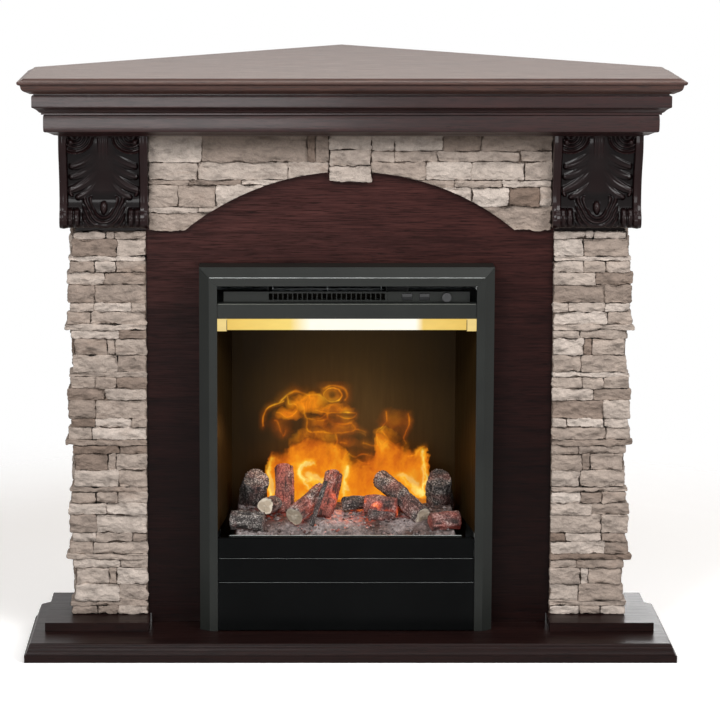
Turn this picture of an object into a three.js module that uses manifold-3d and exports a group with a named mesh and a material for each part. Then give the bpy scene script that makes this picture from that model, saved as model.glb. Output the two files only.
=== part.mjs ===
// Corner fireplace suite with an electric mist-flame fire in its opening.
// Millimetres, +Z up, the front faces -Y, the two 45 degree wall edges meet in a corner at +Y.
import * as THREE from 'three';
import { mergeVertices } from 'three/addons/utils/BufferGeometryUtils.js';
import Module from 'manifold-3d';

const wasm = await Module();
wasm.setup();

// ---------------------------------------------------------------- driving dimensions
const SEAT = 0.3; // gap left between two pieces that rest on each other
const CORNER_Y = 422; // where the two walls meet, for the shelf
const BASE_CORNER_Y = 402; // same for the body, which stays clear of the skirting board

// mantel shelf: half-width and front of its top face, and its moulded edge
const SHELF_HALF = 553;
const SHELF_FRONT = -378;
const SHELF_TOP = 1000;
const SHELF_BOTTOM = 973;
const SHELF_EDGE = [
  // outwards from the top face, height
  [0, SHELF_TOP], [2, 998.4], [5.5, 996.6], [11, 994.6], [11, 991.6], [9, 989.4], [5.6, 988.4],
  [5, 985.6], [3.6, 981], [-0.6, 977.6], [-4.5, 976], [-10, SHELF_BOTTOM],
];

// upper cornice tier: a cove under a flat band
const UPPER_STEP = 12; // how far the tier lies inside the top face of the shelf
const UPPER_HALF = SHELF_HALF - UPPER_STEP;
const UPPER_FRONT = SHELF_FRONT + UPPER_STEP;
const UPPER_TOP = SHELF_BOTTOM - SEAT;
const LOWER_TOP = 936;
const UPPER_EDGE = [
  [-4, UPPER_TOP], [-4, 969.6], [0, 969], [0, 950], [-4.5, 947.6], [-9, 944.2], [-12, 940.4],
  [-15, 939.4], [-15, LOWER_TOP + SEAT],
];

// lower cornice tier: a flat band over an ogee
const LOWER_STEP = 18; // how far it lies inside the upper tier
const LOWER_HALF = UPPER_HALF - LOWER_STEP;
const LOWER_FRONT = UPPER_FRONT + LOWER_STEP;
const BODY_TOP = 897; // top of corbels, pillars and panel, underside of the cornice
const LOWER_EDGE = [
  [-1.5, LOWER_TOP], [0, 934], [0, 908], [-2, 906], [-7, 905], [-12.5, 902.4], [-17, 899.6],
  [-22, 898.6], [-25, BODY_TOP],
];
const CORNICE_BACK = -300; // back of the cornice mouldings along the front
const CORNICE_DEPTH = CORNICE_BACK - LOWER_FRONT;
const SOFFIT_THICK = 15;

// carcass and stone cladding
const STONE_FACE = -283;
const PANEL_FACE = -270;
const STONE_THICK = PANEL_FACE - STONE_FACE;
const PILLAR_INNER = 353;
const PILLAR_OUTER = 488;
const PILLAR_BOTTOM = 48;
const STONE_TOP = 727;
const CASE_BOARD = 15; // thickness of the pillar casing boards
const PANEL_THICK = 18;
const CASE_ROOM = 1.5; // room for the fire's case in the opening of the panel
const PLINTH_ROOM = 2; // and for the plinths in its lower corners
const POST_HALF = 30;
const POST_DEPTH = 40;
const POST_Y = 318; // front of the rear post

// ledger stones, one repeat of the courses from the top down: height, distance of the upright
// joints and of the ragged outer edge from the pillar's inner edge, how far each stone stands out
const COURSES = [
  { height: 29, ends: [54, 68, 125], proud: [3, 0.5, 2] },
  { height: 30, ends: [50, 128], proud: [1, 4] },
  { height: 9, ends: [135], proud: [2] },
  { height: 20, ends: [52, 89, 133], proud: [0.5, 3, 1.5] },
  { height: 21, ends: [72, 138], proud: [2.5, 0] },
  { height: 32, ends: [89, 136], proud: [1, 3.5] },
  { height: 16, ends: [26, 90, 132], proud: [3, 0.5, 2] },
  { height: 22, ends: [95, 137], proud: [2, 0.5] },
  { height: 10, ends: [142], proud: [4.5] },
  { height: 15, ends: [47, 130], proud: [0.5, 2.5] },
];
const FIRST_COURSE = 12.5; // the top course shows only this much below the corbel
const STONE_BED = 4.5; // backing left behind the thinnest stone
const STONE_SINK = 2.5; // a stone listed as 0 lies this far behind the mean face
const RETURN_DEPTH = 46; // how far the corner stones reach round the side, with their stagger
const RETURN_STEP = 9;

// arch lintel
const ARCH_HALF = 348;
const ARCH_SPRING = 729;
const ARCH_CHORD = 285;
const ARCH_APEX = 832;
const ARCH_RADIUS = (ARCH_CHORD ** 2 + (ARCH_APEX - ARCH_SPRING) ** 2) / (2 * (ARCH_APEX - ARCH_SPRING));
const KEYSTONE_HALF = 36.5;
const KEYSTONE_BOTTOM = 814;
const KEYSTONE_PROUD = 3; // how far it stands out from the mean stone face
const ARCH_JOINTS = [
  // distance of the upright joints from the middle, one row for each course from the top down
  [96, 214], [150, 262], [70, 190, 300], [128, 236], [84, 176, 290], [140, 250], [110, 224, 312],
];
const ARCH_START_NUMBER = 4; // the arch starts with this course of the repeat

// corbels
const CORBEL_INNER = 348;
const CORBEL_OUTER = 500;
const CORBEL_RAIL = 13;

// plinths and hearth
const HEARTH_TOP = 32;
const HEARTH_STEP = 12.5; // top of the lower hearth slab
const HEARTH_FRONT = -422;
const HEARTH_HALF = 560;
const HEARTH_EDGE = [
  [0, HEARTH_TOP], [1.6, 31], [2.8, 28.5], [3.2, 25.6], [4.6, 24.8], [5.2, 21], [6.4, 17.4], [8.2, 15],
  [8.4, HEARTH_STEP + SEAT],
];
const HEARTH_SET_BACK = 9; // top face of the hearth behind the front of the slab
const HEARTH_SET_IN = 11; // and inside its sides
const PLINTH_FRONT = -337;
const PLINTH_INNER = 349;
const PLINTH_SET_IN = 30; // outer edge of a plinth inside the side of the slab

// electric fire, set a little left of the middle
const FIRE_X = -6;
const TRIM_FACE = -335;
const TRIM_BEVEL = TRIM_FACE + 13; // where the bevel of the trim ends
const TRIM_OUTER = 254;
const TRIM_FOLD = TRIM_OUTER - 17; // outer edge of the trim's flat front
const TRIM_INNER = TRIM_FOLD - 14;
const TRIM_TOP = 671;
const TRIM_SHEET = 8;
const TRIM_LIP = 3;
const TRIM_DEPTH = 10; // the flat front of the trim is this deep
const CASE_SET_IN = 8.5; // the trim covers the edge of the case by this much
const CASE_HALF = TRIM_OUTER - CASE_SET_IN;
const CASE_TOP = TRIM_TOP - CASE_SET_IN;
const CASE_BACK = -32;
const CASE_FRONT = TRIM_FACE + 26;
const SHEET = 3;
const THIN_SHEET = 2;
const LINER_SHEET = 2.5;
const LINER_SET_BACK = 1.5; // liners and ceiling behind the front edge of the case
const SCREEN_LAP = 22; // the back screen runs this far past the liners
const GLAND = { x: 150, z: 90, radius: 8, nut: 12 };
const HOOD_SET_BACK = 3;
const LIGHT_HALF = TRIM_INNER - 17;
const HOOD_TOP = TRIM_TOP - 62;
const HOOD_BOTTOM = HOOD_TOP - 26;
const LIGHT_BOTTOM = HOOD_BOTTOM - 20;
const CEILING = HOOD_BOTTOM + 3; // underside of the chamber ceiling
const CHAMBER_BACK = -105;
const CHAMBER_BACK_HALF = TRIM_INNER - 23;

// drawer with the mist unit, and the fuel bed that rides on it
const DRAWER_TOP = 197;
const DRAWER_STEPS = [161, 119]; // heights of the two treads on the drawer front
const DRAWER_BOTTOM = 34.6;
const TREAD = 3.2; // how far a band stands out from the one above it
const TREAD_FALL = 1.5;
const DRAWER_DEPTH = 12;
const DRAWER_HALF = TRIM_INNER - 0.6;
const TRAY_HALF = TRIM_INNER - 24;
const TRAY_BACK = -112;
const RUNNER_TOP = 82;
const RUNNER_WIDTH = 10; // how far the tray's flanges reach over the runners
const RUNNER_HEIGHT = 20;
const FLANGE = 4;
const TRAY_FLOOR = 46;
const TRAY_RIM = 172;
const BED_TOP = 193;
const BED_PLATE = 4;
const BED_RIM = 12; // solid rim left round the hollow under the ash
const RAIL = 2.5;
const MIST_FRONT = -300; // front and back of the tank and the sump
const MIST_BACK = -130;
const TANK = { left: -190, right: -60, top: 140 };
const CAP = { x: -150, y: -215, radius: 20, height: 10, grip: 18 };
const SUMP = { left: -50, right: 190, top: 110, wall: 8, basinBack: -190, floor: 62, ledge: 90 };
const LAMPS = { lamp_left: -10, lamp_right: 150 };
const LAMP = { base: 7, stem: 30, radius: 22, cone: 24 };
const MIST_Y = -146; // slot that the mist rises through
const MIST_SLOT_HALF = 105;

// heater behind the slot above the hood
const HEATER_LEFT = -136;
const HEATER_RIGHT = 66;
const FAN_Y = -250;
const FAN_Z = CEILING + 36;
const FAN_RADIUS = 22;
const FAN_BLADES = 12;
const FAN_DISC = 1.6; // thickness of its discs and blades
const SHAFT = 3; // radius of its shaft
const MOTOR = { length: 38, radius: 20, foot: 16 };
const ELEMENT = { folds: 18, depth: 10, thick: 1.5 };
const SLOT_HALF = TRIM_INNER - 11; // half-width of the plates that close the slot
const PLATE_TOP = HOOD_TOP + 18;
const PLATE = 3; // their thickness
const FINS = 24;
const FIN_THICK = 1.6;
const FIN_DEPTH = 6;
const GRID_BAR = 3;
const GRID_END = 4;

// controls at the right end of the slot
const ROCKERS = { flame_switch: 104, heat_switch: 134 };
const ROCKER = { width: 17, height: 11, tilt: 8, proud: 3.6, sideRoom: 0.5, endRoom: 0.8 };
const KNOB = { x: 172, radius: 8, spindle: 3, proud: 12 };

// ---------------------------------------------------------------- helpers
const axes = (...three) => new THREE.Matrix4().makeBasis(...three.map((axis) => new THREE.Vector3(...axis)));
const ALONG_X = axes([0, 1, 0], [0, 0, 1], [1, 0, 0]);
const ALONG_Y = axes([1, 0, 0], [0, 0, 1], [0, -1, 0]);

const outline = (points) => new THREE.Shape(points.map(([x, y]) => new THREE.Vector2(x, y)));

// a drawn plan [x, y] raised from z0 to z1
const plan = (points, z0, z1) =>
  new THREE.ExtrudeGeometry(outline(points), { depth: z1 - z0, bevelEnabled: false }).translate(0, 0, z0);

// a drawn side view [y, z] carried from x0 to x1
const sideView = (points, x0, x1) =>
  new THREE.ExtrudeGeometry(outline(points), { depth: x1 - x0, bevelEnabled: false })
    .applyMatrix4(ALONG_X).translate(x0, 0, 0);

// a drawn front view [x, z] carried from y0 back to y1
const frontView = (points, y0, y1) =>
  new THREE.ExtrudeGeometry(outline(points), { depth: y1 - y0, bevelEnabled: false })
    .applyMatrix4(ALONG_Y).translate(0, y1, 0);

const block = (x0, x1, y0, y1, z0, z1) =>
  new THREE.BoxGeometry(Math.abs(x1 - x0), Math.abs(y1 - y0), Math.abs(z1 - z0))
    .translate((x0 + x1) / 2, (y0 + y1) / 2, (z0 + z1) / 2);

// a round bar between two points
function rod(from, to, radius, segments = 20) {
  const a = new THREE.Vector3(...from);
  const b = new THREE.Vector3(...to);
  const along = b.clone().sub(a);
  const geometry = new THREE.CylinderGeometry(radius, radius, along.length(), segments);
  const turn = new THREE.Quaternion().setFromUnitVectors(new THREE.Vector3(0, 1, 0), along.normalize());
  return geometry.applyQuaternion(turn).translate((a.x + b.x) / 2, (a.y + b.y) / 2, (a.z + b.z) / 2);
}

function solid(geometry) {
  const merged = geometry.clone();
  merged.deleteAttribute('normal');
  merged.deleteAttribute('uv');
  const clean = mergeVertices(merged, 1e-4);
  return new wasm.Manifold(new wasm.Mesh({
    numProp: 3,
    vertProperties: new Float32Array(clean.attributes.position.array),
    triVerts: new Uint32Array(clean.index.array),
  }));
}

function shell(body) {
  const mesh = body.getMesh();
  const geometry = new THREE.BufferGeometry();
  geometry.setAttribute('position', new THREE.BufferAttribute(new Float32Array(mesh.vertProperties), 3));
  geometry.setIndex(new THREE.BufferAttribute(new Uint32Array(mesh.triVerts), 1));
  geometry.computeVertexNormals();
  return geometry;
}

const join = (...pieces) => shell(pieces.map(solid).reduce((a, b) => a.add(b)));
const carve = (stock, ...cutters) => shell(cutters.map(solid).reduce((a, b) => a.subtract(b), solid(stock)));
const common = (...pieces) => shell(pieces.map(solid).reduce((a, b) => a.intersect(b)));

// the mirror image for the other side of the fireplace
function mirrored(geometry) {
  const other = mergeVertices(geometry.clone().scale(-1, 1, 1));
  const index = other.index.array;
  for (let i = 0; i < index.length; i += 3) [index[i], index[i + 1]] = [index[i + 1], index[i]];
  other.computeVertexNormals();
  return other;
}

const fireplace = new THREE.Group();
const fire = new THREE.Group();
fire.position.x = FIRE_X;
fireplace.add(fire);

const VENEER = { color: '#33201b', roughness: 0.35, metalness: 0 };
const BOARD = { color: '#a58662', roughness: 0.8, metalness: 0 };
const STONE = { color: '#ab9c90', roughness: 0.9, metalness: 0 };
const BLACK_STEEL = { color: '#262a27', roughness: 0.45, metalness: 0.6 };
const ZINC = { color: '#9aa0a2', roughness: 0.5, metalness: 0.9 };
const DARK_PLASTIC = { color: '#17181a', roughness: 0.55, metalness: 0 };
const BARK = { color: '#6b5646', roughness: 0.95, metalness: 0 };

function place(name, geometry, finish, parent = fireplace) {
  const mesh = new THREE.Mesh(geometry, new THREE.MeshStandardMaterial(finish));
  mesh.name = name;
  parent.add(mesh);
  return mesh;
}

// the same piece for the right and, mirrored, for the left
function pair(name, geometry, finish, parent = fireplace) {
  place(`${name}_right`, geometry, finish, parent);
  place(`${name}_left`, mirrored(geometry), finish, parent);
}

// ---------------------------------------------------------------- boards and mouldings
// five-sided plan that fills the room corner: straight front and sides, 45 degree wall edges
const cornerPlan = (half, front, corner) =>
  [[-half, front], [half, front], [half, corner - half], [0, corner], [-half, corner - half]];

// a board with a moulded front and sides; edge = [outwards, height] from the top down
function mouldedBoard(edge, half, front, corner) {
  const top = edge[0][1];
  const bottom = edge[edge.length - 1][1];
  const reach = Math.max(...edge.map(([out]) => out));
  const across = sideView([[corner, top], ...edge.map(([out, z]) => [front - out, z]), [corner, bottom]],
    -half - reach, half + reach);
  const sides = frontView([...edge.map(([out, z]) => [half + out, z]),
    ...edge.slice().reverse().map(([out, z]) => [-half - out, z])], front - reach, corner);
  const floor = plan(cornerPlan(half + reach, front - reach, corner), bottom, top);
  return common(across, sides, floor);
}

// three mitred lengths of one moulding along the front and both sides
function mitredMouldings(name, edge, half, front, depth) {
  const top = edge[0][1];
  const bottom = edge[edge.length - 1][1];
  const reach = front - SEAT;
  const inner = half - depth;
  const back = front + depth;
  const frontLength = common(
    sideView([[back, top], ...edge.map(([out, z]) => [front - out, z]), [back, bottom]], -half, half),
    plan([[-half, reach], [half, reach], [inner, back], [-inner, back]], bottom, top),
  );
  place(`${name}_front`, frontLength, VENEER);
  const mitre = SEAT * Math.SQRT2;
  const sideLength = common(
    frontView([...edge.map(([out, z]) => [half + out, z]), [inner, bottom], [inner, top]], front, CORNER_Y),
    plan([[half, front + mitre], [half, CORNER_Y - half], [inner, CORNER_Y - inner], [inner, back + mitre]],
      bottom, top),
  );
  pair(name, sideLength, VENEER);
}

place('mantel_shelf', mouldedBoard(SHELF_EDGE, SHELF_HALF, SHELF_FRONT, CORNER_Y), VENEER);
mitredMouldings('cornice_upper', UPPER_EDGE, UPPER_HALF, UPPER_FRONT, CORNICE_BACK - UPPER_FRONT);
mitredMouldings('cornice_lower', LOWER_EDGE, LOWER_HALF, LOWER_FRONT, CORNICE_DEPTH);

place('hearth_slab', plan(cornerPlan(HEARTH_HALF, HEARTH_FRONT, BASE_CORNER_Y), 0, HEARTH_STEP), VENEER);
const hearthTopHalf = HEARTH_HALF - HEARTH_SET_IN;
const hearthTopFront = HEARTH_FRONT + HEARTH_SET_BACK;
place('hearth_moulding', mouldedBoard(HEARTH_EDGE, hearthTopHalf, hearthTopFront, BASE_CORNER_Y), VENEER);

// ---------------------------------------------------------------- pillars
const wallLine = (x) => BASE_CORNER_Y - x; // how far back the body may reach at that distance from the middle

const plinthBottom = HEARTH_TOP + SEAT;
const plinthOuter = HEARTH_HALF - PLINTH_SET_IN;
pair('plinth', plan([[PLINTH_INNER, PLINTH_FRONT], [plinthOuter, PLINTH_FRONT],
  [plinthOuter, wallLine(plinthOuter)], [PLINTH_INNER, wallLine(plinthOuter)]],
plinthBottom, PILLAR_BOTTOM - SEAT), VENEER);

const caseOuter = PILLAR_OUTER - STONE_THICK;
pair('pillar_case', plan([
  [PILLAR_INNER, PANEL_FACE], [caseOuter, PANEL_FACE], [caseOuter, wallLine(caseOuter)],
  [caseOuter - CASE_BOARD, wallLine(caseOuter)], [caseOuter - CASE_BOARD, PANEL_FACE + CASE_BOARD],
  [PILLAR_INNER, PANEL_FACE + CASE_BOARD],
], PILLAR_BOTTOM, BODY_TOP), BOARD);

// heights of the courses from the top of the stone down to the plinth
function courseHeights() {
  const rows = [];
  let top = STONE_TOP;
  for (let i = 0; top > PILLAR_BOTTOM + SEAT; i += 1) {
    const course = COURSES[i % COURSES.length];
    const height = i === 0 ? FIRST_COURSE : course.height;
    const bottom = Math.max(top - height, PILLAR_BOTTOM + SEAT);
    rows.push({ course, top, bottom, number: i });
    top = bottom;
  }
  return rows;
}

// cladding of the right pillar: an L-shaped backing with stones on its front and on its return
function stonePillar() {
  const bed = PANEL_FACE - SEAT - STONE_BED;
  const sideBed = caseOuter + SEAT + STONE_BED;
  const back = wallLine(PILLAR_OUTER);
  const pieces = [plan([
    [PILLAR_INNER, bed], [sideBed, bed], [sideBed, back], [caseOuter + SEAT, back],
    [caseOuter + SEAT, PANEL_FACE - SEAT], [PILLAR_INNER, PANEL_FACE - SEAT],
  ], PILLAR_BOTTOM + SEAT, STONE_TOP)];
  for (const { course, top, bottom, number } of courseHeights()) {
    const joint = STONE_FACE + RETURN_DEPTH + RETURN_STEP * (number % 4);
    let from = 0;
    course.ends.forEach((end, k) => {
      const front = STONE_FACE + STONE_SINK - course.proud[k];
      const rear = k === course.ends.length - 1 ? joint + 1 : bed + 1;
      pieces.push(block(PILLAR_INNER + from, PILLAR_INNER + end, front, rear, bottom, top));
      from = end;
    });
    const outer = PILLAR_OUTER - STONE_SINK + (number * 3) % 4;
    pieces.push(block(sideBed - 1, outer, joint, back, bottom, top));
  }
  // the case stands inside the cladding
  const room = block(PILLAR_INNER - 1, caseOuter + SEAT, PANEL_FACE - SEAT, back + 1, 0, BODY_TOP);
  return carve(join(...pieces), room);
}
pair('stone_pillar', stonePillar(), STONE);

// ---------------------------------------------------------------- arch
// long thin courses from the middle to the corbel, cut to the curve and to the keystone
function stoneArch() {
  const bed = PANEL_FACE - SEAT - STONE_BED;
  const left = KEYSTONE_HALF + SEAT;
  const right = ARCH_HALF - SEAT;
  const top = BODY_TOP - SEAT;
  const pieces = [block(left, right, bed, PANEL_FACE - SEAT, ARCH_SPRING, top)];
  let z = top;
  for (let i = 0; z > ARCH_SPRING; i += 1) {
    const course = COURSES[(i + ARCH_START_NUMBER) % COURSES.length];
    const bottom = Math.max(z - course.height, ARCH_SPRING);
    const ends = [...ARCH_JOINTS[i % ARCH_JOINTS.length], right];
    let from = left;
    ends.forEach((end, k) => {
      const proud = ((i * 2 + k * 3) % 5) * 0.9;
      pieces.push(block(from, end, STONE_FACE + STONE_SINK - proud, bed + 1, bottom, z));
      from = end;
    });
    z = bottom;
  }
  const under = new THREE.CylinderGeometry(ARCH_RADIUS, ARCH_RADIUS, 80, 120);
  return carve(join(...pieces), under.translate(0, PANEL_FACE, ARCH_APEX - ARCH_RADIUS));
}

function keystone() {
  const third = (BODY_TOP - SEAT - KEYSTONE_BOTTOM) / 3;
  const blocks = [0, 1.5, 0].map((set, i) => {
    const half = KEYSTONE_HALF - set;
    const bottom = KEYSTONE_BOTTOM + i * third;
    return block(-half, half, STONE_FACE - KEYSTONE_PROUD - set, PANEL_FACE - SEAT, bottom, bottom + third);
  });
  return join(...blocks);
}
pair('stone_arch', stoneArch(), STONE);
place('keystone', keystone(), STONE);

// ---------------------------------------------------------------- corbels
// an S-scroll console: deep at the top, hollow in the middle, a roll at the foot
const CORBEL_PROFILE = [
  // out from the panel, down from the top
  [48, 0], [48, 15], [46, 29], [40.5, 45], [34, 61], [29.5, 79], [27, 99], [27, 119], [30, 131], [35, 137],
  [38, 145], [37, 154], [31, 160], [23, 162], [14, 161], [0, 156],
];
const CORBEL_SINK = 6; // the carved field lies this far behind the side rails
const ROLL = { out: 26, down: 148, radius: 11 };
const CURL = { aside: 34, out: 48, down: 29, depth: 18, radius: 24, button: 9, buttonProud: 3 };
const LEAVES = [
  // tiers of the leaf: top and tip below the corbel's top, half-width, how far out
  { top: 37, tip: 85, half: 42, out: 42 },
  { top: 79, tip: 115, half: 34, out: 34 },
  { top: 109, tip: 141, half: 24, out: 33 },
];
const LEAF_ROOT = 15; // the leaves and the stem start this far out, inside the console
const STEM = [[46, 13], [44, 39], [37, 71], [33.5, 107], [33.5, 125], [LEAF_ROOT, 125], [LEAF_ROOT, 13]];
const STEM_HALF = 6;
const BEAD = { out: 33, down: 129, radius: 7.5 };

function corbel() {
  const outwards = (out) => PANEL_FACE - out;
  const down = (below) => BODY_TOP - SEAT - below;
  const middle = (CORBEL_INNER + CORBEL_OUTER) / 2;
  const fieldLeft = CORBEL_INNER + CORBEL_RAIL;
  const fieldRight = CORBEL_OUTER - CORBEL_RAIL;
  const view = (sink) => [[PANEL_FACE - SEAT, down(0)],
    ...CORBEL_PROFILE.map(([out, below]) => [outwards(Math.max(out - sink, SEAT)), down(below)])];
  const rollAt = (x) => [x, outwards(ROLL.out), down(ROLL.down)];
  const pieces = [
    sideView(view(0), CORBEL_INNER, fieldLeft),
    sideView(view(0), fieldRight, CORBEL_OUTER),
    sideView(view(CORBEL_SINK), fieldLeft - 1, fieldRight + 1),
    rod(rollAt(fieldLeft - 1), rollAt(fieldRight + 1), ROLL.radius, 18),
  ];
  // shell curls in the two top corners, each with a button
  for (const side of [-1, 1]) {
    const x = middle + side * CURL.aside;
    const z = down(CURL.down);
    const root = [x, outwards(CURL.out - CURL.depth), z];
    pieces.push(rod([x, outwards(CURL.out), z], root, CURL.radius, 22));
    pieces.push(rod([x, outwards(CURL.out + CURL.buttonProud), z], root, CURL.button, 14));
  }
  for (const { top, tip, half, out } of LEAVES) {
    const waist = (top + tip) / 2 - 4;
    const edge = [[0.55, top], [1, waist], [0.6, tip - 6]];
    const leaf = [...edge, [0, tip], ...edge.map(([share, below]) => [-share, below]).reverse()]
      .map(([share, below]) => [middle + share * half, down(below)]);
    pieces.push(frontView(leaf.reverse(), outwards(out), outwards(LEAF_ROOT)));
  }
  const stem = STEM.map(([out, below]) => [outwards(out), down(below)]);
  pieces.push(sideView(stem, middle - STEM_HALF, middle + STEM_HALF));
  const bead = new THREE.SphereGeometry(BEAD.radius, 14, 10);
  pieces.push(bead.translate(middle, outwards(BEAD.out), down(BEAD.down)));
  return join(...pieces);
}
pair('corbel', corbel(), VENEER);

// ---------------------------------------------------------------- panel and hidden frame
const cutHalf = CASE_HALF + CASE_ROOM;
const panelBack = PANEL_FACE + PANEL_THICK;
const through = (x0, x1, z) => block(x0, x1, PANEL_FACE - 5, panelBack + 5, 0, z);
place('infill_panel', carve(
  block(-PILLAR_INNER + SEAT, PILLAR_INNER - SEAT, PANEL_FACE, panelBack, plinthBottom, BODY_TOP - SEAT),
  through(FIRE_X - cutHalf, FIRE_X + cutHalf, CASE_TOP + CASE_ROOM),
  through(PLINTH_INNER - PLINTH_ROOM, PILLAR_INNER + PLINTH_ROOM, PILLAR_BOTTOM),
  through(-PILLAR_INNER - PLINTH_ROOM, -PLINTH_INNER + PLINTH_ROOM, PILLAR_BOTTOM),
), VENEER);

// post in the corner that carries the back of the shelf, let through the soffit board
const postPlan = (half, room) => [
  [-half, POST_Y - room], [half, POST_Y - room],
  [half, POST_Y + POST_DEPTH + room], [-half, POST_Y + POST_DEPTH + room],
];
place('rear_post', plan(postPlan(POST_HALF, 0), plinthBottom, SHELF_BOTTOM - SEAT), BOARD);
const soffitHalf = LOWER_HALF - CORNICE_DEPTH - SEAT;
const soffitBottom = BODY_TOP + SEAT;
place('soffit_board', carve(
  plan(cornerPlan(soffitHalf, CORNICE_BACK + SEAT, BASE_CORNER_Y), soffitBottom, soffitBottom + SOFFIT_THICK),
  plan(postPlan(POST_HALF + SEAT, SEAT), soffitBottom - 1, soffitBottom + SOFFIT_THICK + 1),
), BOARD);

// ---------------------------------------------------------------- fire: trim, case and chamber
const trimSection = [
  // distance from the middle, depth
  [TRIM_INNER, TRIM_FACE], [TRIM_FOLD, TRIM_FACE], [TRIM_OUTER, TRIM_BEVEL], [TRIM_OUTER, PANEL_FACE - SEAT],
  [TRIM_OUTER - TRIM_SHEET, PANEL_FACE - SEAT], [TRIM_OUTER - TRIM_SHEET, TRIM_BEVEL + TRIM_LIP],
  [TRIM_FOLD - 2, TRIM_FACE + TRIM_DEPTH], [TRIM_INNER, TRIM_FACE + TRIM_DEPTH],
];
const rise = TRIM_TOP - TRIM_OUTER; // carries the section of the uprights over to the top bar
const pastOuter = TRIM_OUTER + 1;
const pastInner = TRIM_INNER - 1;
const uprightMitre = frontView([
  [pastOuter, pastOuter + rise - SEAT], [pastOuter, plinthBottom], [pastInner, plinthBottom],
  [pastInner, pastInner + rise - SEAT],
].reverse(), TRIM_FACE - 1, PANEL_FACE);
pair('trim', common(plan(trimSection, plinthBottom, TRIM_TOP), uprightMitre), BLACK_STEEL, fire);

const barMitre = frontView([
  [-pastOuter, pastOuter + rise], [pastOuter, pastOuter + rise],
  [pastInner, pastInner + rise], [-pastInner, pastInner + rise],
], TRIM_FACE - 1, PANEL_FACE);
const barSection = trimSection.map(([out, y]) => [y, out + rise]);
place('trim_top', common(sideView(barSection, -TRIM_OUTER, TRIM_OUTER), barMitre), BLACK_STEEL, fire);

// folded case: two sides and a top in one sheet
const insideCase = CASE_HALF - SHEET;
const caseLid = CASE_TOP - SHEET;
place('fire_case', frontView([
  [-CASE_HALF, plinthBottom], [-CASE_HALF, CASE_TOP], [CASE_HALF, CASE_TOP], [CASE_HALF, plinthBottom],
  [insideCase, plinthBottom], [insideCase, caseLid], [-insideCase, caseLid], [-insideCase, plinthBottom],
], CASE_FRONT, CASE_BACK), ZINC, fire);
const insideHalf = insideCase - SEAT;
const insideBack = CASE_BACK - SHEET;
const baseTop = plinthBottom + THIN_SHEET;
place('case_base', block(-insideHalf, insideHalf, CASE_FRONT, insideBack - SEAT, plinthBottom, baseTop),
  ZINC, fire);
const glandAt = (y) => [GLAND.x, CASE_BACK + y, GLAND.z];
place('case_back', carve(
  block(-insideHalf, insideHalf, insideBack, CASE_BACK, plinthBottom, caseLid - SEAT),
  rod(glandAt(-9), glandAt(9), GLAND.radius + SEAT, 24),
), ZINC, fire);
place('cable_gland', join(
  rod(glandAt(-11), glandAt(12), GLAND.radius, 24),
  rod(glandAt(SEAT), glandAt(6), GLAND.nut, 6),
), DARK_PLASTIC, fire);

// chamber: tapering sides, back screen and ceiling
const linerFoot = DRAWER_TOP + 4;
const linerFront = CASE_FRONT + LINER_SET_BACK;
pair('liner', plan([
  [insideHalf, linerFront + LINER_SHEET], [insideHalf, linerFront], [TRIM_INNER + 1, linerFront],
  [CHAMBER_BACK_HALF + 1, CHAMBER_BACK], [CHAMBER_BACK_HALF + 4, CHAMBER_BACK],
  [TRIM_INNER + 4, linerFront + LINER_SHEET],
], linerFoot, CEILING - SEAT), BLACK_STEEL, fire);
const screenHalf = CHAMBER_BACK_HALF + SCREEN_LAP;
place('rear_screen', block(-screenHalf, screenHalf, CHAMBER_BACK + SEAT, CHAMBER_BACK + SEAT + LINER_SHEET,
  baseTop + SEAT, CEILING - SEAT), BLACK_STEEL, fire);
const ceilingTop = CEILING + THIN_SHEET;
place('chamber_ceiling', block(-insideHalf, insideHalf, linerFront, insideBack - SEAT, CEILING, ceilingTop),
  BLACK_STEEL, fire);

// hood bar with the lit strip under it
const fitHalf = TRIM_INNER - SEAT; // half-width of what fits between the uprights of the trim
const plateY = CASE_FRONT + 1.2; // back of the plates that close the slot, and of the hood bar
const hoodFront = TRIM_FACE + HOOD_SET_BACK;
place('hood_bar', sideView([
  [hoodFront, HOOD_BOTTOM], [hoodFront, HOOD_TOP - 2], [hoodFront + 2, HOOD_TOP],
  [plateY, HOOD_TOP], [plateY, HOOD_BOTTOM],
], -fitHalf, fitHalf), BLACK_STEEL, fire);
const lightTop = HOOD_BOTTOM - SEAT;
const lightSection = (front, back, bottom) => [
  [TRIM_FACE + front + 2, bottom], [TRIM_FACE + front, lightTop], [TRIM_FACE + back, lightTop],
  [TRIM_FACE + back, bottom],
];
place('light_strip', sideView(lightSection(5, 17, LIGHT_BOTTOM), -LIGHT_HALF, LIGHT_HALF),
  { color: '#ffe9a8', roughness: 0.3, metalness: 0 }, fire);
pair('light_cap', sideView(lightSection(4, 20, LIGHT_BOTTOM - 2), LIGHT_HALF + SEAT, fitHalf),
  { color: '#e8d48c', roughness: 0.4, metalness: 0 }, fire);

// ---------------------------------------------------------------- fire: heater and controls
const slotFloor = HOOD_TOP + SEAT;
const gridFront = plateY - PLATE;
const gridBack = plateY + FIN_DEPTH;

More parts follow.
